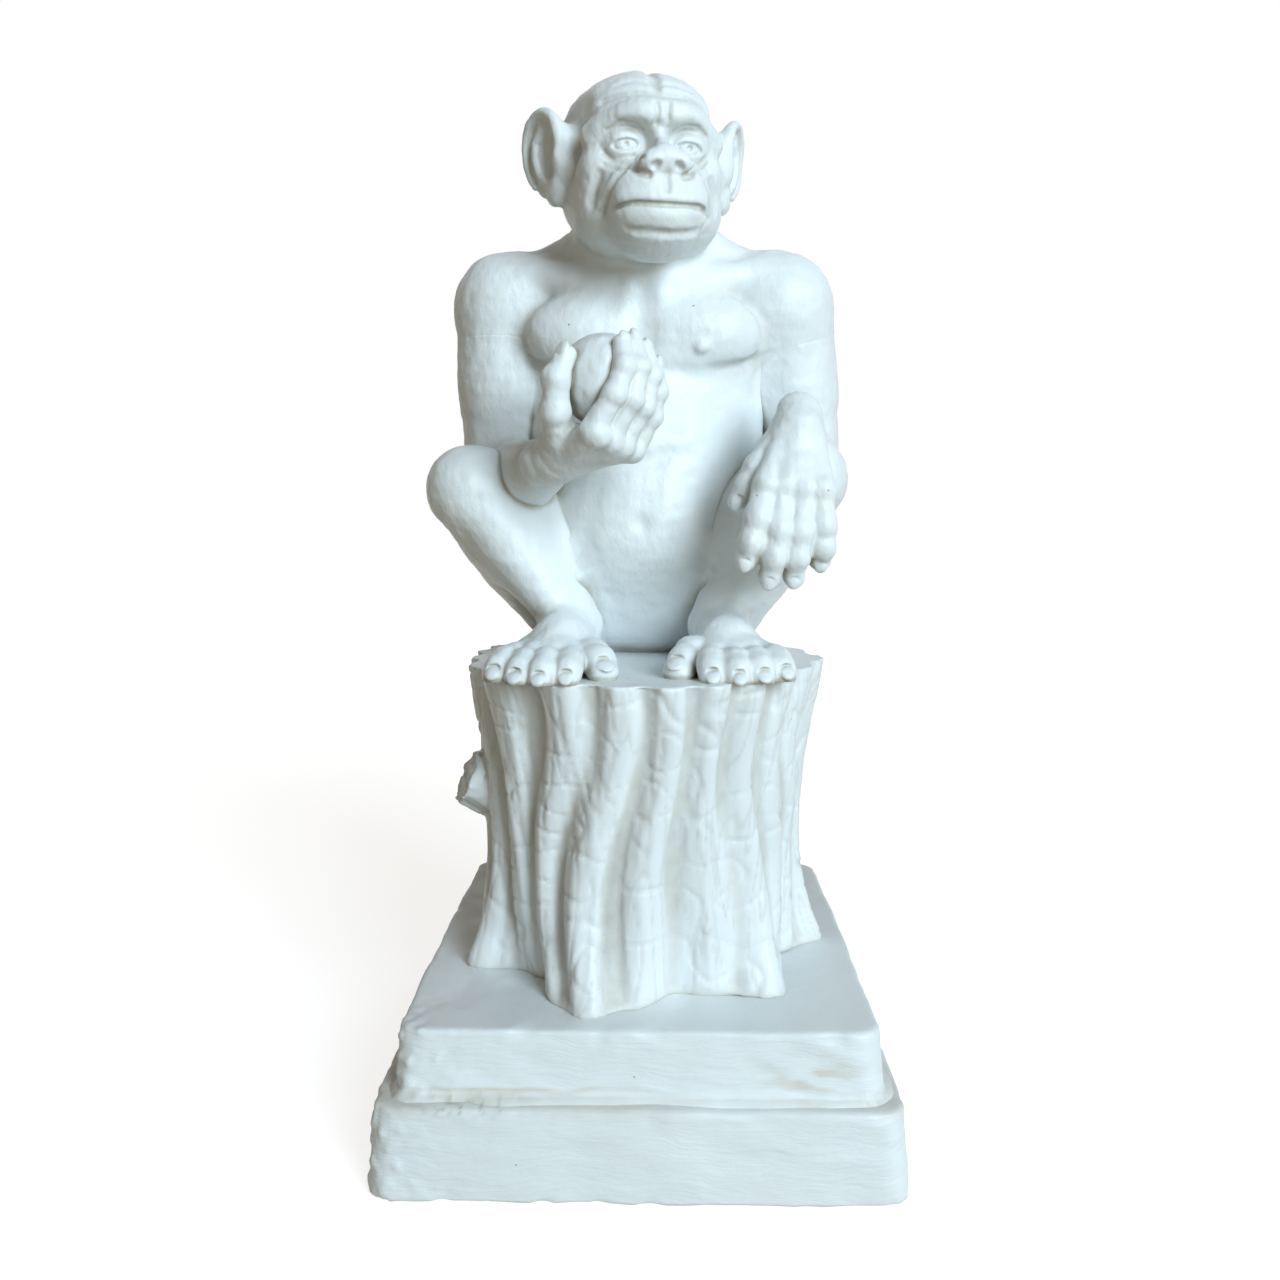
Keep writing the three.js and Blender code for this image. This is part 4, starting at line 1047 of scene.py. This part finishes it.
def mirrored(lumps):
    """The same lumps for the other side of the body."""
    flip = np.diag((-1.0, 1.0, 1.0))
    result = []
    for lump in lumps:
        lump = dict(lump)
        if lump["kind"] == "egg":
            lump["centre"] = flip @ lump["centre"]
            lump["turn"] = flip @ lump["turn"] @ flip
        else:
            lump["path"] = lump["path"] @ flip
        result.append(lump)
    return result


def limited(lumps, at, beyond):
    """The lumps cut off flat at a joint."""
    return [{**lump, "limit": (at, beyond)} if lump["limit"] is None else lump for lump in lumps]


SIDES = {1: "left", -1: "right"}
for side, word in SIDES.items():
    at = ankle[side]
    whole_leg = leg_lumps(side)
    lumps = whole_leg + limited(foot_lumps(side)[1:3], at, (0, 0, -1))
    cast(word + "_leg", lumps, LEG_VOXEL)
    shin_in_foot = limited([{**lump, "limit": None} for lump in whole_leg[4:]], at, (0, 0, 1))
    cast(word + "_foot", limited(foot_lumps(side), at, (0, 0, 1)) + shin_in_foot, FOOT_VOXEL)


# Ape, arms and hands: the left hand hangs over the left knee, and the right one holds the fruit
# up in front of the belly. Each arm is cast from below the shoulder to the wrist.

ARM_VOXEL = 0.75
HAND_VOXEL = 0.38
hand_way = {1: (-0.12, -0.499, -0.858), -1: (0.804, -0.553, 0.221)}
hand_back = {1: (0.099, -0.866, 0.49), -1: (0.067, -0.285, -0.956)}


def arm_lumps(side):
    cut_off = (arm_joint(side)[0], -arm_joint(side)[1])
    upper = unit_vector(np.subtract(elbow[side], shoulder[side]))
    fore = unit_vector(np.subtract(wrist[side], elbow[side]))
    inner = unit_vector(fore - (fore @ upper) * upper)
    return [
        roll([shoulder[side], elbow[side]], (17.5, 11), blend=3, bulge=0.5, limit=cut_off),
        ball(along(shoulder[side], elbow[side], 0.52) + inner * 4.5, 9.5, blend=7),
        roll([along(shoulder[side], elbow[side], 0.42) + inner * 4,
              along(shoulder[side], elbow[side], 0.72) + inner * 3.5], (9.5, 8), blend=6),
        roll([along(shoulder[side], elbow[side], 0.35) - inner * 5.5,
              along(shoulder[side], elbow[side], 0.75) - inner * 3.5], (9.5, 8), blend=7),
        ball(elbow[side], 10.6, blend=5),
        ball(elbow[side] + (upper - fore) * 3.6, 6.2, blend=4),
        roll([elbow[side], wrist[side]], (10.8, 6.8), blend=5, bulge=0.6),
        roll([along(elbow[side], wrist[side], 0.06) - upper * 3,
              along(elbow[side], wrist[side], 0.3) - upper * 3.2,
              along(elbow[side], wrist[side], 0.62) - upper * 0.5], (7.5, 9.2, 6.5), blend=7),
        roll([along(elbow[side], wrist[side], 0.1) + upper * 2,
              along(elbow[side], wrist[side], 0.4) + upper * 2.2], (8.2, 8.2), blend=6),
    ]


KNUCKLES_ACROSS = 16.4


def palm_lumps():
    """A hand's palm, with +Y towards the fingers, +Z out of its back and +X on the thumb's side."""
    lumps = [
        roll([(0, -6, 0), (0, 2, 0)], (7.2, 7.0), blend=3, flat=((0, 0, 1), 0.86)),
        roll([(0, 1, 0), (0, 18, 0)], (6.2, 6.0), blend=4),
        egg((5.5, 6, -3.2), (5.2, 8, 4.4), blend=3),
        egg((-6, 8, -3), (4.2, 9, 4), blend=3),
        egg((0, 18.5, -2.4), (10, 4, 3.4), blend=3),
    ]
    for finger in range(4):
        share = finger / 3 - 0.5
        knuckle = (-share * KNUCKLES_ACROSS, 21.5 - abs(share) * 2.2 * (1 if finger else 0), 0.6)
        lumps.append(roll([(knuckle[0] * 0.55, 4, 1.2), knuckle], (3.6, 4.1), blend=2.2))
        lumps.append(egg(np.add(knuckle, (0, 0.5, 1.2)), (3.3, 3.4, 3.2), blend=1.6))
    return lumps


def hanging_hand():
    """Relaxed fingers, a little apart, with the thumb beside them."""
    lumps = palm_lumps()
    for finger, (size, spread) in enumerate(((0.92, 0.13), (1.05, 0.03), (1.0, -0.06), (0.8, -0.17))):
        share = finger / 3 - 0.5
        bends = (0.12 + 0.05 * finger, 0.3 + 0.04 * finger, 0.38)
        base = (-share * KNUCKLES_ACROSS, 22 - abs(share) * 2, -0.2)
        lumps += digit(base, spread, bends, 26 * size, (3.7, 2.9))
    lumps += digit((7, 6, -2.4), 0.42, (0.15, 0.2, 0.15), 20, (4.3, 3.2), shares=(0.42, 0.33, 0.25))
    return lumps


FRUIT_RADIUS = 14
GRIP = 17.2  # from the middle of the fruit to the middle of a finger
FRUIT_IN_HAND = (0, 16.1, -18.4)
fruit_centre = np.array((-10, -51, 86.0))
fruit_axes = np.column_stack([(0.387, -0.607, -0.694), (0.104, 0.777, -0.621), (0.916, 0.169, 0.364)])


def holding_hand():
    """Fingers that close round the fruit, which lies in the palm."""
    middle = np.array(FRUIT_IN_HAND)
    lumps = palm_lumps()
    for finger, size in enumerate((1.0, 1.05, 1.0, 0.88)):
        share = finger / 3 - 0.5
        lean = -share * 19
        ring = math.sqrt(max(GRIP ** 2 - (0.7 * lean) ** 2, 100))
        places = [np.array((lean, 21.5 - abs(share) * 2, 0.2))]
        for step, turn in enumerate((0.92, 1.45, 1.95)):
            swing = turn * size
            drift = lean * (0.92 - 0.12 * step)
            places.append(middle + (drift, math.sin(swing) * ring, math.cos(swing) * ring))
        radii = (3.6, 3.2, 3.0, 2.8)
        for bone in range(3):
            lumps.append(roll(places[bone:bone + 2], radii[bone:bone + 2], blend=1.0))
        for bone in (1, 2):
            outward = unit_vector(places[bone] - middle)
            lumps.append(ball(places[bone] + outward * 0.45, radii[bone], blend=1.5))
        lumps += nail(places[3], unit_vector(places[3] - middle), places[3] - places[2], radii[3])
    thumb = np.array([(7.2, 7, -2.5), (13.5, 11, -7.5), (16.4, 14.5, -15.5), (15.4, 17.5, -22.0)])
    radii = (4.6, 4.0, 3.6, 3.2)
    for bone in range(3):
        lumps.append(roll(thumb[bone:bone + 2], radii[bone:bone + 2], blend=1.4))
    for bone in (1, 2):
        lumps.append(ball(thumb[bone], radii[bone] * 1.03, blend=1.5))
    lumps += nail(thumb[3], unit_vector(thumb[3] - middle), thumb[3] - thumb[2], radii[3])
    return lumps


def hand_lumps(side):
    lumps = hanging_hand() if side > 0 else mirrored(holding_hand())
    across = np.cross(hand_way[side], hand_back[side])
    return placed(lumps, np.column_stack([across, hand_way[side], hand_back[side]]), wrist[side])


def wrist_way(side):
    return unit_vector(unit_vector(np.subtract(wrist[side], elbow[side])) + np.array(hand_way[side]))


fruit_cut = ball(fruit_centre, FRUIT_RADIUS - 0.2, blend=0.3, cut=True)
for side, word in SIDES.items():
    at, way = wrist[side], wrist_way(side)
    arm = arm_lumps(side)
    cast(word + "_arm", arm[:6] + limited(arm[6:] + hand_lumps(side)[:1], at, way), ARM_VOXEL)
    lumps = limited(hand_lumps(side) + arm[6:7], at, -way)
    if side < 0:
        lumps = lumps + [fruit_cut]
    cast(word + "_hand", lumps, HAND_VOXEL)


# Ape, head: cast with the neck. It has a heavy brow, deep-set eyes, a broad muzzle with a long
# upper lip, and round ears that stand out, and it looks a little to its left.

HEAD_VOXEL = 0.5
HEAD_SIZE = 1.09
head_at = (0, -14, 162)
head_axes = turned(z=0.22) @ turned(x=0.06)


def on_skin(lumps, places, ways, sink=0.0):
    """Where lines drawn from these places along these ways meet the clay, or a little below it."""
    points = np.array(places, float)
    ways = np.array([unit_vector(way) for way in ways])
    for _ in range(36):
        step = np.clip(clay_distance(points, lumps), -3, 5)
        points += 0.85 * ways * step[:, None]
    return points + ways * sink


def drawn_on_face(lumps, line, radii, blend, sink, cut=True):
    """A crease or a fold that follows the face, from its places as seen from the front (x, z)."""
    places = [(x, -60, z) for x, z in line]
    return roll(on_skin(lumps, places, [(0, 1, 0)] * len(line), sink), radii, blend=blend, cut=cut)


def ear_lumps(side):
    """An ear that faces outwards and forwards, with its rim, its bowl, its inner fold and its lobe."""
    rim = []
    for step in range(25):
        turn = -2.35 + step * 0.195
        wide = 8.3 + 1.0 * math.cos(turn - 0.6)
        rim.append((1.5, 0.3 + wide * math.sin(turn), 0.8 + 12.0 * math.cos(turn)))
    fold = [(1.0, 1.5, 7.6), (1.7, 3.9, 4.5), (2.0, 4.2, 0), (1.8, 2.6, -4.6), (1.2, -0.8, -7.6)]
    lumps = [
        egg((-1.5, -5.5, -0.5), (5.5, 6.5, 9.0), blend=4),
        egg((0, 0, 0.6), (2.6, 9.0, 12.6), blend=2.5),
        egg((4.6, -0.6, 1.2), (4.6, 7.0, 9.8), blend=1.4, cut=True),
        roll(rim, [1.55] * 21 + [1.5, 1.4, 1.2, 0.9], blend=1.2),
        roll(fold, (0.8, 1.1, 1.3, 1.3, 1.0), blend=1.6),
        egg((2.0, -7.6, -2.2), (1.9, 2.3, 3.2), blend=1.6),
        egg((0.2, -4.4, -1.2), (2.2, 2.2, 2.8), blend=1.4, cut=True),
        egg((0.9, -3.6, -11.0), (2.3, 3.8, 3.6), blend=2.2),
    ]
    if side < 0:
        lumps = mirrored(lumps)
    return placed(lumps, turned(y=side * 0.1, z=side * -0.5), (side * 27.0, 4.5, -0.5))


def eye_lumps(side):
    """An eyeball under heavy lids, with a pupil that was pressed in with a point."""
    at = np.array((side * 8.9, -18.1, -1.6))
    tilt = turned(y=side * 0.12, z=side * 0.16)
    return [
        egg(at, (5.6, 5.3, 5.2), blend=1.5),
        egg(at + (side * 0.2, -5.1, -0.7), (4.3, 3.2, 1.75), blend=0.4, cut=True, turn=tilt),
        ball(at + (0, -0.1, -0.2), 4.35, blend=0.15),
        egg(at + (side * 0.1, -4.5, -0.6), (1.0, 0.8, 1.0), blend=0.3, cut=True),
    ]


# Creases of one side of the face, seen from the front (x, z), with their radii, blend and depth
FACE_CREASES = (
    # Under the eye, and again below its bag
    (((4.6, -5.6), (7, -7.2), (10, -7.6), (13, -6.2), (14.6, -4)), (0.3, 0.5, 0.6, 0.5, 0.3), 1.2, 0.05),
    (((6.6, -8.1), (9, -9.4), (12, -9.2), (14.8, -7.3)), (0.25, 0.45, 0.45, 0.25), 1.2, 0.0),
    # Over the eye
    (((4.4, 2.2), (7.4, 3.6), (11, 3.6), (14, 1.8)), (0.3, 0.4, 0.4, 0.3), 0.9, 0.0),
    # Round the side of the nose
    (((6.6, -5.6), (8.1, -8.4), (7.4, -11.4), (5.0, -12.6)), (0.4, 0.7, 0.7, 0.4), 1.6, 0.05),
    # From the nose down past the mouth
    (((8.6, -7.6), (11.6, -11), (14.2, -15.5), (15.2, -20.5)), (0.4, 0.8, 0.8, 0.3), 2.2, 0.1),
)


def head_lumps():
    lumps = [
        egg((0, 8, 4.9), (23.5, 26.5, 20.6), blend=4),
        egg((0, -7, 7), (18.5, 15, 12.5), blend=8),
        egg((0, -8, -8), (18, 14, 15), blend=7),
        egg((0, -7, -20), (16.5, 17, 10.5), blend=8),
        egg((0, -19.5, -16), (15.6, 15, 11.6), blend=5),
        egg((0, -22, -24.5), (11.8, 11, 6.8), blend=4),
        egg((0, -18, -28), (9, 8, 5), blend=4),
    ]
    for side in (-1, 1):
        lumps += [
            egg((side * 14.5, -12, -7.5), (6.5, 8, 6.5), blend=4),
            egg((side * 13.5, -8, -18), (8, 10.5, 9.5), blend=5),
            egg((side * 15.5, 2, -13), (7.5, 10, 9), blend=6),
            egg((side * 23.5, -8, 7), (5, 9, 8), blend=6, cut=True),
            egg((side * 3.9, -32, -8.9), (3.9, 3.5, 3.0), blend=2),
        ]
    ridge = [(x, -24.4 + 0.036 * x * x, 6.4 - 0.016 * x * x) for x in range(-17, 18, 2)]
    lumps += [
        roll(ridge, [3.3 + 0.9 * math.sin(min(abs(x), 12) / 12 * math.pi) for x, _, _ in ridge], blend=4),
        roll([(0, -19.5, 4), (0, -24.5, -2.5), (0, -31.8, -7.2)], (2.9, 2.8, 3.3), blend=3),
    ]
    for side in (-1, 1):
        lumps.append(egg((side * 9.1, -25.4, -1.2), (6.8, 6.4, 4.9), blend=2.5, cut=True))
    for side in (-1, 1):
        lumps += eye_lumps(side)
        for line, radii, blend, depth in FACE_CREASES:
            line = [(side * x, z) for x, z in line]
            lumps.append(drawn_on_face(lumps, line, radii, blend, depth))
        cheek = [(side * (16.2 + 1.6 * math.sin(1.6 * share)), -10.0 - 8.0 * share)
                 for share in (0, 0.35, 0.7, 1)]
        lumps.append(drawn_on_face(lumps, cheek, (0.1, 0.2, 0.2, 0.1), 2.6, -0.2))
        lumps.append(egg((side * 3.2, -35.3, -10.3), (1.6, 2.0, 1.2), blend=0.8, cut=True,
                         turn=turned(y=side * 0.5)))
    mouth = [(x, -20.4 + 0.012 * x * x - 0.00008 * x ** 4) for x in range(-13, 14, 2)]
    for shift, radius, blend, sink in ((1.8, 1.4, 2.6, 0.75), (-2.0, 1.5, 2.6, 1.35)):
        lip = [(x, z + shift) for x, z in mouth[1:-1]]
        lumps.append(drawn_on_face(lumps, lip, [radius] * len(lip), blend, sink, cut=False))
    parted = [0.3, 0.5] + [0.62] * (len(mouth) - 4) + [0.5, 0.3]
    lumps.append(drawn_on_face(lumps, mouth, parted, 0.9, 0.3))
    for line, radii, blend in (
            ([(0, -12.8), (0, -14.6), (0, -16.6)], (0.3, 0.6, 0.4), 1.8),
            ([(-9.5, -26.2), (-4, -27.3), (4, -27.3), (9.5, -26.2)], (0.3, 0.7, 0.7, 0.3), 2.2),
            ([(-15, 11.0), (-8, 12.5), (0, 12.0), (7, 12.7), (15, 10.8)], (0.1, 0.35, 0.2, 0.35, 0.1), 2.4),
            ([(-10, 15.9), (-5, 16.6), (-2, 16.3)], (0.1, 0.2, 0.1), 1.8),
            ([(2, 16.0), (6, 16.5), (11, 15.5)], (0.1, 0.25, 0.1), 1.8),
            ([(-1.7, 8.4), (-1.2, 5.6), (-1.6, 3.0)], (0.1, 0.3, 0.1), 1.5),
            ([(1.6, 8.0), (1.3, 5.8), (1.8, 3.8)], (0.1, 0.25, 0.1), 1.5)):
        lumps.append(drawn_on_face(lumps, line, radii, blend, 0.0))
    turns = [step * 0.24 + 0.45 for step in range(9)]
    crest = [(0.5 * math.sin(step), 8 - 60 * math.cos(turn), 60 * math.sin(turn))
             for step, turn in enumerate(turns)]
    ways = [np.subtract((0, 8, 0), place) for place in crest]
    parting = on_skin(lumps, crest, ways, 0.1)
    lumps.append(roll(parting, (0.1, 0.3, 0.5, 0.6, 0.6, 0.5, 0.4, 0.3, 0.1), blend=3.0, cut=True))
    lumps += ear_lumps(1) + ear_lumps(-1)
    return placed(lumps, head_axes, head_at, HEAD_SIZE)


neck_in_head = roll([(0, 10, 122), (0, -3, 152)], (26, 20), blend=8,
                    limit=(neck_joint[0], np.negative(neck_joint[1])))
lumps = head_lumps()
cast("head", lumps[:1] + [neck_in_head] + lumps[1:], HEAD_VOXEL)


# Fruit: a small round casting with a dimple at each end and a short bent stalk. A steel pin holds
# it in the palm of the right hand, whose fingers close round it.

FRUIT_VOXEL = 0.45


def fruit_lumps():
    lumps = [
        egg((0, 0, 0), (FRUIT_RADIUS, FRUIT_RADIUS, FRUIT_RADIUS * 0.95), blend=1),
        egg((0, 0, 15.5), (4.6, 4.6, 3.4), blend=4, cut=True),
        egg((0, 0, -15.2), (2.6, 2.6, 2.4), blend=2.5, cut=True),
        roll([(0, 0, 10.5), (0.3, 0, 14.5), (1.2, 0, 16.6)], (1.5, 1.1, 1.35), blend=1.6),
    ]
    return placed(lumps, fruit_axes, fruit_centre)


cast("fruit", fruit_lumps(), FRUIT_VOXEL)


# Finish of the whole figure: the joints are filled and rubbed down, then come traces of the
# modelling tool, dirt and painted shade in the hollows, and the same paint on every casting.

RUBBED = {"shoulder": 21, "hip": 22, "wrist": 10, "ankle": 11, "neck": 26}  # from a joint's middle
FADE = 0.45  # the rubbing fades out over this share more
UNDER = 0.3  # how far the end of a casting runs under the skin of the next
HOLLOW_REACHES = (1.4, 3.2)
HOLLOW_GAIN, HOLLOW_LEAST = 1.35, 0.22
BEDDED = 0.3  # how deep a sole or the seat may go into the top of the stump

# Traces of the modelling tool: how far each kind moves the skin
FIGURE_SWELL = 0.16
FIGURE_LUMPS = 0.09
TOOL_MARKS = 0.045


def rubbed_down(first, second, shape, joint, reach):
    """Near their joint both castings follow the one smooth shape that they have together, and the
    end of each runs under the skin of the other."""
    at, beyond = np.array(joint[0], float), unit_vector(joint[1])
    shape = [{**lump, "limit": None} for lump in shape]
    for name, towards in ((first, beyond), (second, -beyond)):
        piece = figure[name][0]
        pull, spacing = neighbour_pull(piece)
        for _ in range(3):
            away = points_of(piece) - at
            fading = (1 + FADE) * reach - np.linalg.norm(away, axis=1)
            share = np.clip(fading / (FADE * reach), 0, 1)
            share[(away @ towards > FILLER - 1) & (normals_of(piece) @ towards > 0.7)] = 0
            near = share > 0
            under = UNDER * np.clip(away[near] @ towards / FILLER, 0, 1)
            share[near] *= np.clip(clay_distance(away[near] + at, shape) + under, -1.2, 1.2)
            pushed_in(piece, pull, spacing, share, 0.1)


for side, word in SIDES.items():
    arm, hand, leg, foot = arm_lumps(side), hand_lumps(side), leg_lumps(side), foot_lumps(side)
    rubbed_down("torso", word + "_arm", torso_lumps() + arm[1:], arm_joint(side), RUBBED["shoulder"])
    rubbed_down("torso", word + "_leg", torso_lumps() + leg[1:], hip_joint(side), RUBBED["hip"])
    wrist_joint, ankle_joint = (wrist[side], wrist_way(side)), (ankle[side], (0, 0, -1))
    rubbed_down(word + "_arm", word + "_hand", arm + hand, wrist_joint, RUBBED["wrist"])
    rubbed_down(word + "_leg", word + "_foot", leg + foot, ankle_joint, RUBBED["ankle"])
rubbed_down("torso", "head", torso_lumps() + head_lumps(), neck_joint, RUBBED["neck"])


def figure_hollow(piece):
    """How shut in each point is by the figure and by the top of the stump, for dirt and painted shade."""
    points, normals = points_of(piece), normals_of(piece)
    shut = np.zeros(len(points))
    for reach in HOLLOW_REACHES:
        probe = points + normals * reach
        nearest = np.maximum(probe[:, 2], 0)
        for _, lumps in figure.values():
            nearest = np.minimum(nearest, clay_distance(probe, lumps))
        shut += np.clip(1 - nearest / reach, 0, 1.2)
    return np.clip(shut / len(HOLLOW_REACHES) * HOLLOW_GAIN - HOLLOW_LEAST, 0, 1)


def hand_finished(piece):
    """Traces of the modelling tool under the paint, in millimetres."""
    points, normals = points_of(piece), normals_of(piece)
    swell = unevenness(50, 15)(points) * FIGURE_SWELL + unevenness(51, 6.0)(points) * FIGURE_LUMPS
    marks = unevenness(52, 2.7)(points * (1, 1, 0.5)) * TOOL_MARKS
    move_points(piece, points + normals * (swell + marks)[:, None])


def on_seat(piece):
    """From millimetres above the stump to the statue's own place."""
    points = points_of(piece)
    points[:, 2] = np.maximum(points[:, 2], -BEDDED) + SEAT
    move_points(piece, points * MM)


figure_paint = painted("white paint dabbed over the figure", (560, 190, 340), bump=0.00036,
                       turn=(0.4, 0.5, 0.3))
for name, (piece, _) in figure.items():
    hollow = figure_hollow(piece)
    hand_finished(piece)
    # Where the figure is shut in, the paint gets dirt and painted shade; the deepest places are also
    # yellowed a little, partly stain and partly painted shade.
    keep_on_points(piece, "hollow", hollow)
    keep_on_points(piece, "stain", 0.12 * np.clip(hollow - 0.6, 0, 1))
    on_seat(piece)
    dressed(piece, name, figure_paint)


# Stage: a plain pale floor, the soft light of a window on the right, a weak bounce from the left,
# and the camera, close to the statue and a little above its middle.

CAMERA_AT = (0.0065, -0.3685, 0.186)
CAMERA_LEFT = math.radians(1.15)
SENSOR_WIDTH, LENS = 36, 30.94
PICTURE_SHIFT = -0.107  # the camera is held level, and its picture is moved down instead
NEAREST_SEEN = 0.01
FLOOR_BOUNCE = (0.44, 0.36, 0.24, 1)
FLOOR_SEEN = (0.6, 0.6, 0.6, 1)
FLOOR_LIFT = 0.79
LIFT_PER_METRE = 0.25
SKY = (1.0, 0.76, 0.36, 1)
SKY_STRENGTH = 0.075


def seen_directly(nodes, links):
    """1 for a ray from the camera or one that metal or glass sends on, and 0 for bounced light."""
    path = nodes.new("ShaderNodeLightPath").outputs
    seen = math_node(nodes, links, "ADD", path["Is Camera Ray"], path["Is Glossy Ray"])
    return math_node(nodes, links, "ADD", seen, path["Is Transmission Ray"], clamp=True)


def pale_floor():
    """A pale matt ground that throws warm light back at the statue. The camera sees it as white but
    for the shadow on it, and so do metal and glass."""
    material, nodes, links, shader = new_material("pale floor")
    shader.inputs["Roughness"].default_value = 0.9
    shader.inputs["Specular IOR Level"].default_value = 0.0
    shader.inputs["Emission Color"].default_value = (1, 1, 1, 1)
    from_middle = nodes.new("ShaderNodeVectorMath")
    from_middle.operation = "LENGTH"
    links.new(nodes.new("ShaderNodeTexCoord").outputs["Object"], from_middle.inputs[0])
    distance = from_middle.outputs["Value"]
    glow = math_node(nodes, links, "MULTIPLY_ADD", distance, LIFT_PER_METRE, FLOOR_LIFT, clamp=True)
    direct = seen_directly(nodes, links)
    links.new(math_node(nodes, links, "MULTIPLY", direct, glow), shader.inputs["Emission Strength"])
    links.new(mix_colours(nodes, links, direct, FLOOR_BOUNCE, FLOOR_SEEN), shader.inputs["Base Color"])
    return material


floor = primitive("floor", bpy.ops.mesh.primitive_plane_add, size=4)
floor.data.materials.append(pale_floor())

world = bpy.data.worlds.new("studio")
bpy.context.scene.world = world
world.use_nodes = True
nodes, links = world.node_tree.nodes, world.node_tree.links
sky = nodes["Background"]
sky.inputs["Color"].default_value = SKY
sky.inputs["Strength"].default_value = SKY_STRENGTH
backdrop = nodes.new("ShaderNodeBackground")
backdrop.inputs["Color"].default_value = (1, 1, 1, 1)
backdrop.inputs["Strength"].default_value = 1.0
mix = nodes.new("ShaderNodeMixShader")
links.new(seen_directly(nodes, links), mix.inputs[0])
links.new(sky.outputs[0], mix.inputs[1])
links.new(backdrop.outputs[0], mix.inputs[2])
links.new(mix.outputs[0], nodes["World Output"].inputs["Surface"])


def softbox(name, at, aim, size, power, colour):
    deselect_all()
    bpy.ops.object.light_add(type="AREA", location=at)
    lamp = bpy.context.object
    lamp.name = name
    lamp.data.shape = "RECTANGLE"
    lamp.data.size, lamp.data.size_y = size
    lamp.data.energy = power
    lamp.data.color = colour
    lamp.rotation_euler = (Vector(aim) - Vector(at)).to_track_quat("-Z", "Y").to_euler()


softbox("window on the right", at=(0.9, -1.44, 0.8), aim=(0, 0, 0.17), size=(0.85, 1.15), power=37.5,
        colour=(0.75, 0.90, 1.0))
softbox("bounce from the left", at=(-0.9, -0.5, 0.35), aim=(0, 0, 0.15), size=(0.8, 0.8), power=0.4,
        colour=(1.0, 0.86, 0.6))

bpy.ops.object.camera_add(location=CAMERA_AT, rotation=(math.pi / 2, 0, CAMERA_LEFT))
camera = bpy.context.object
camera.data.sensor_width = SENSOR_WIDTH
camera.data.lens = LENS
camera.data.shift_y = PICTURE_SHIFT
camera.data.clip_start = NEAREST_SEEN
bpy.context.scene.camera = camera
bpy.context.scene.view_settings.view_transform = "Standard"
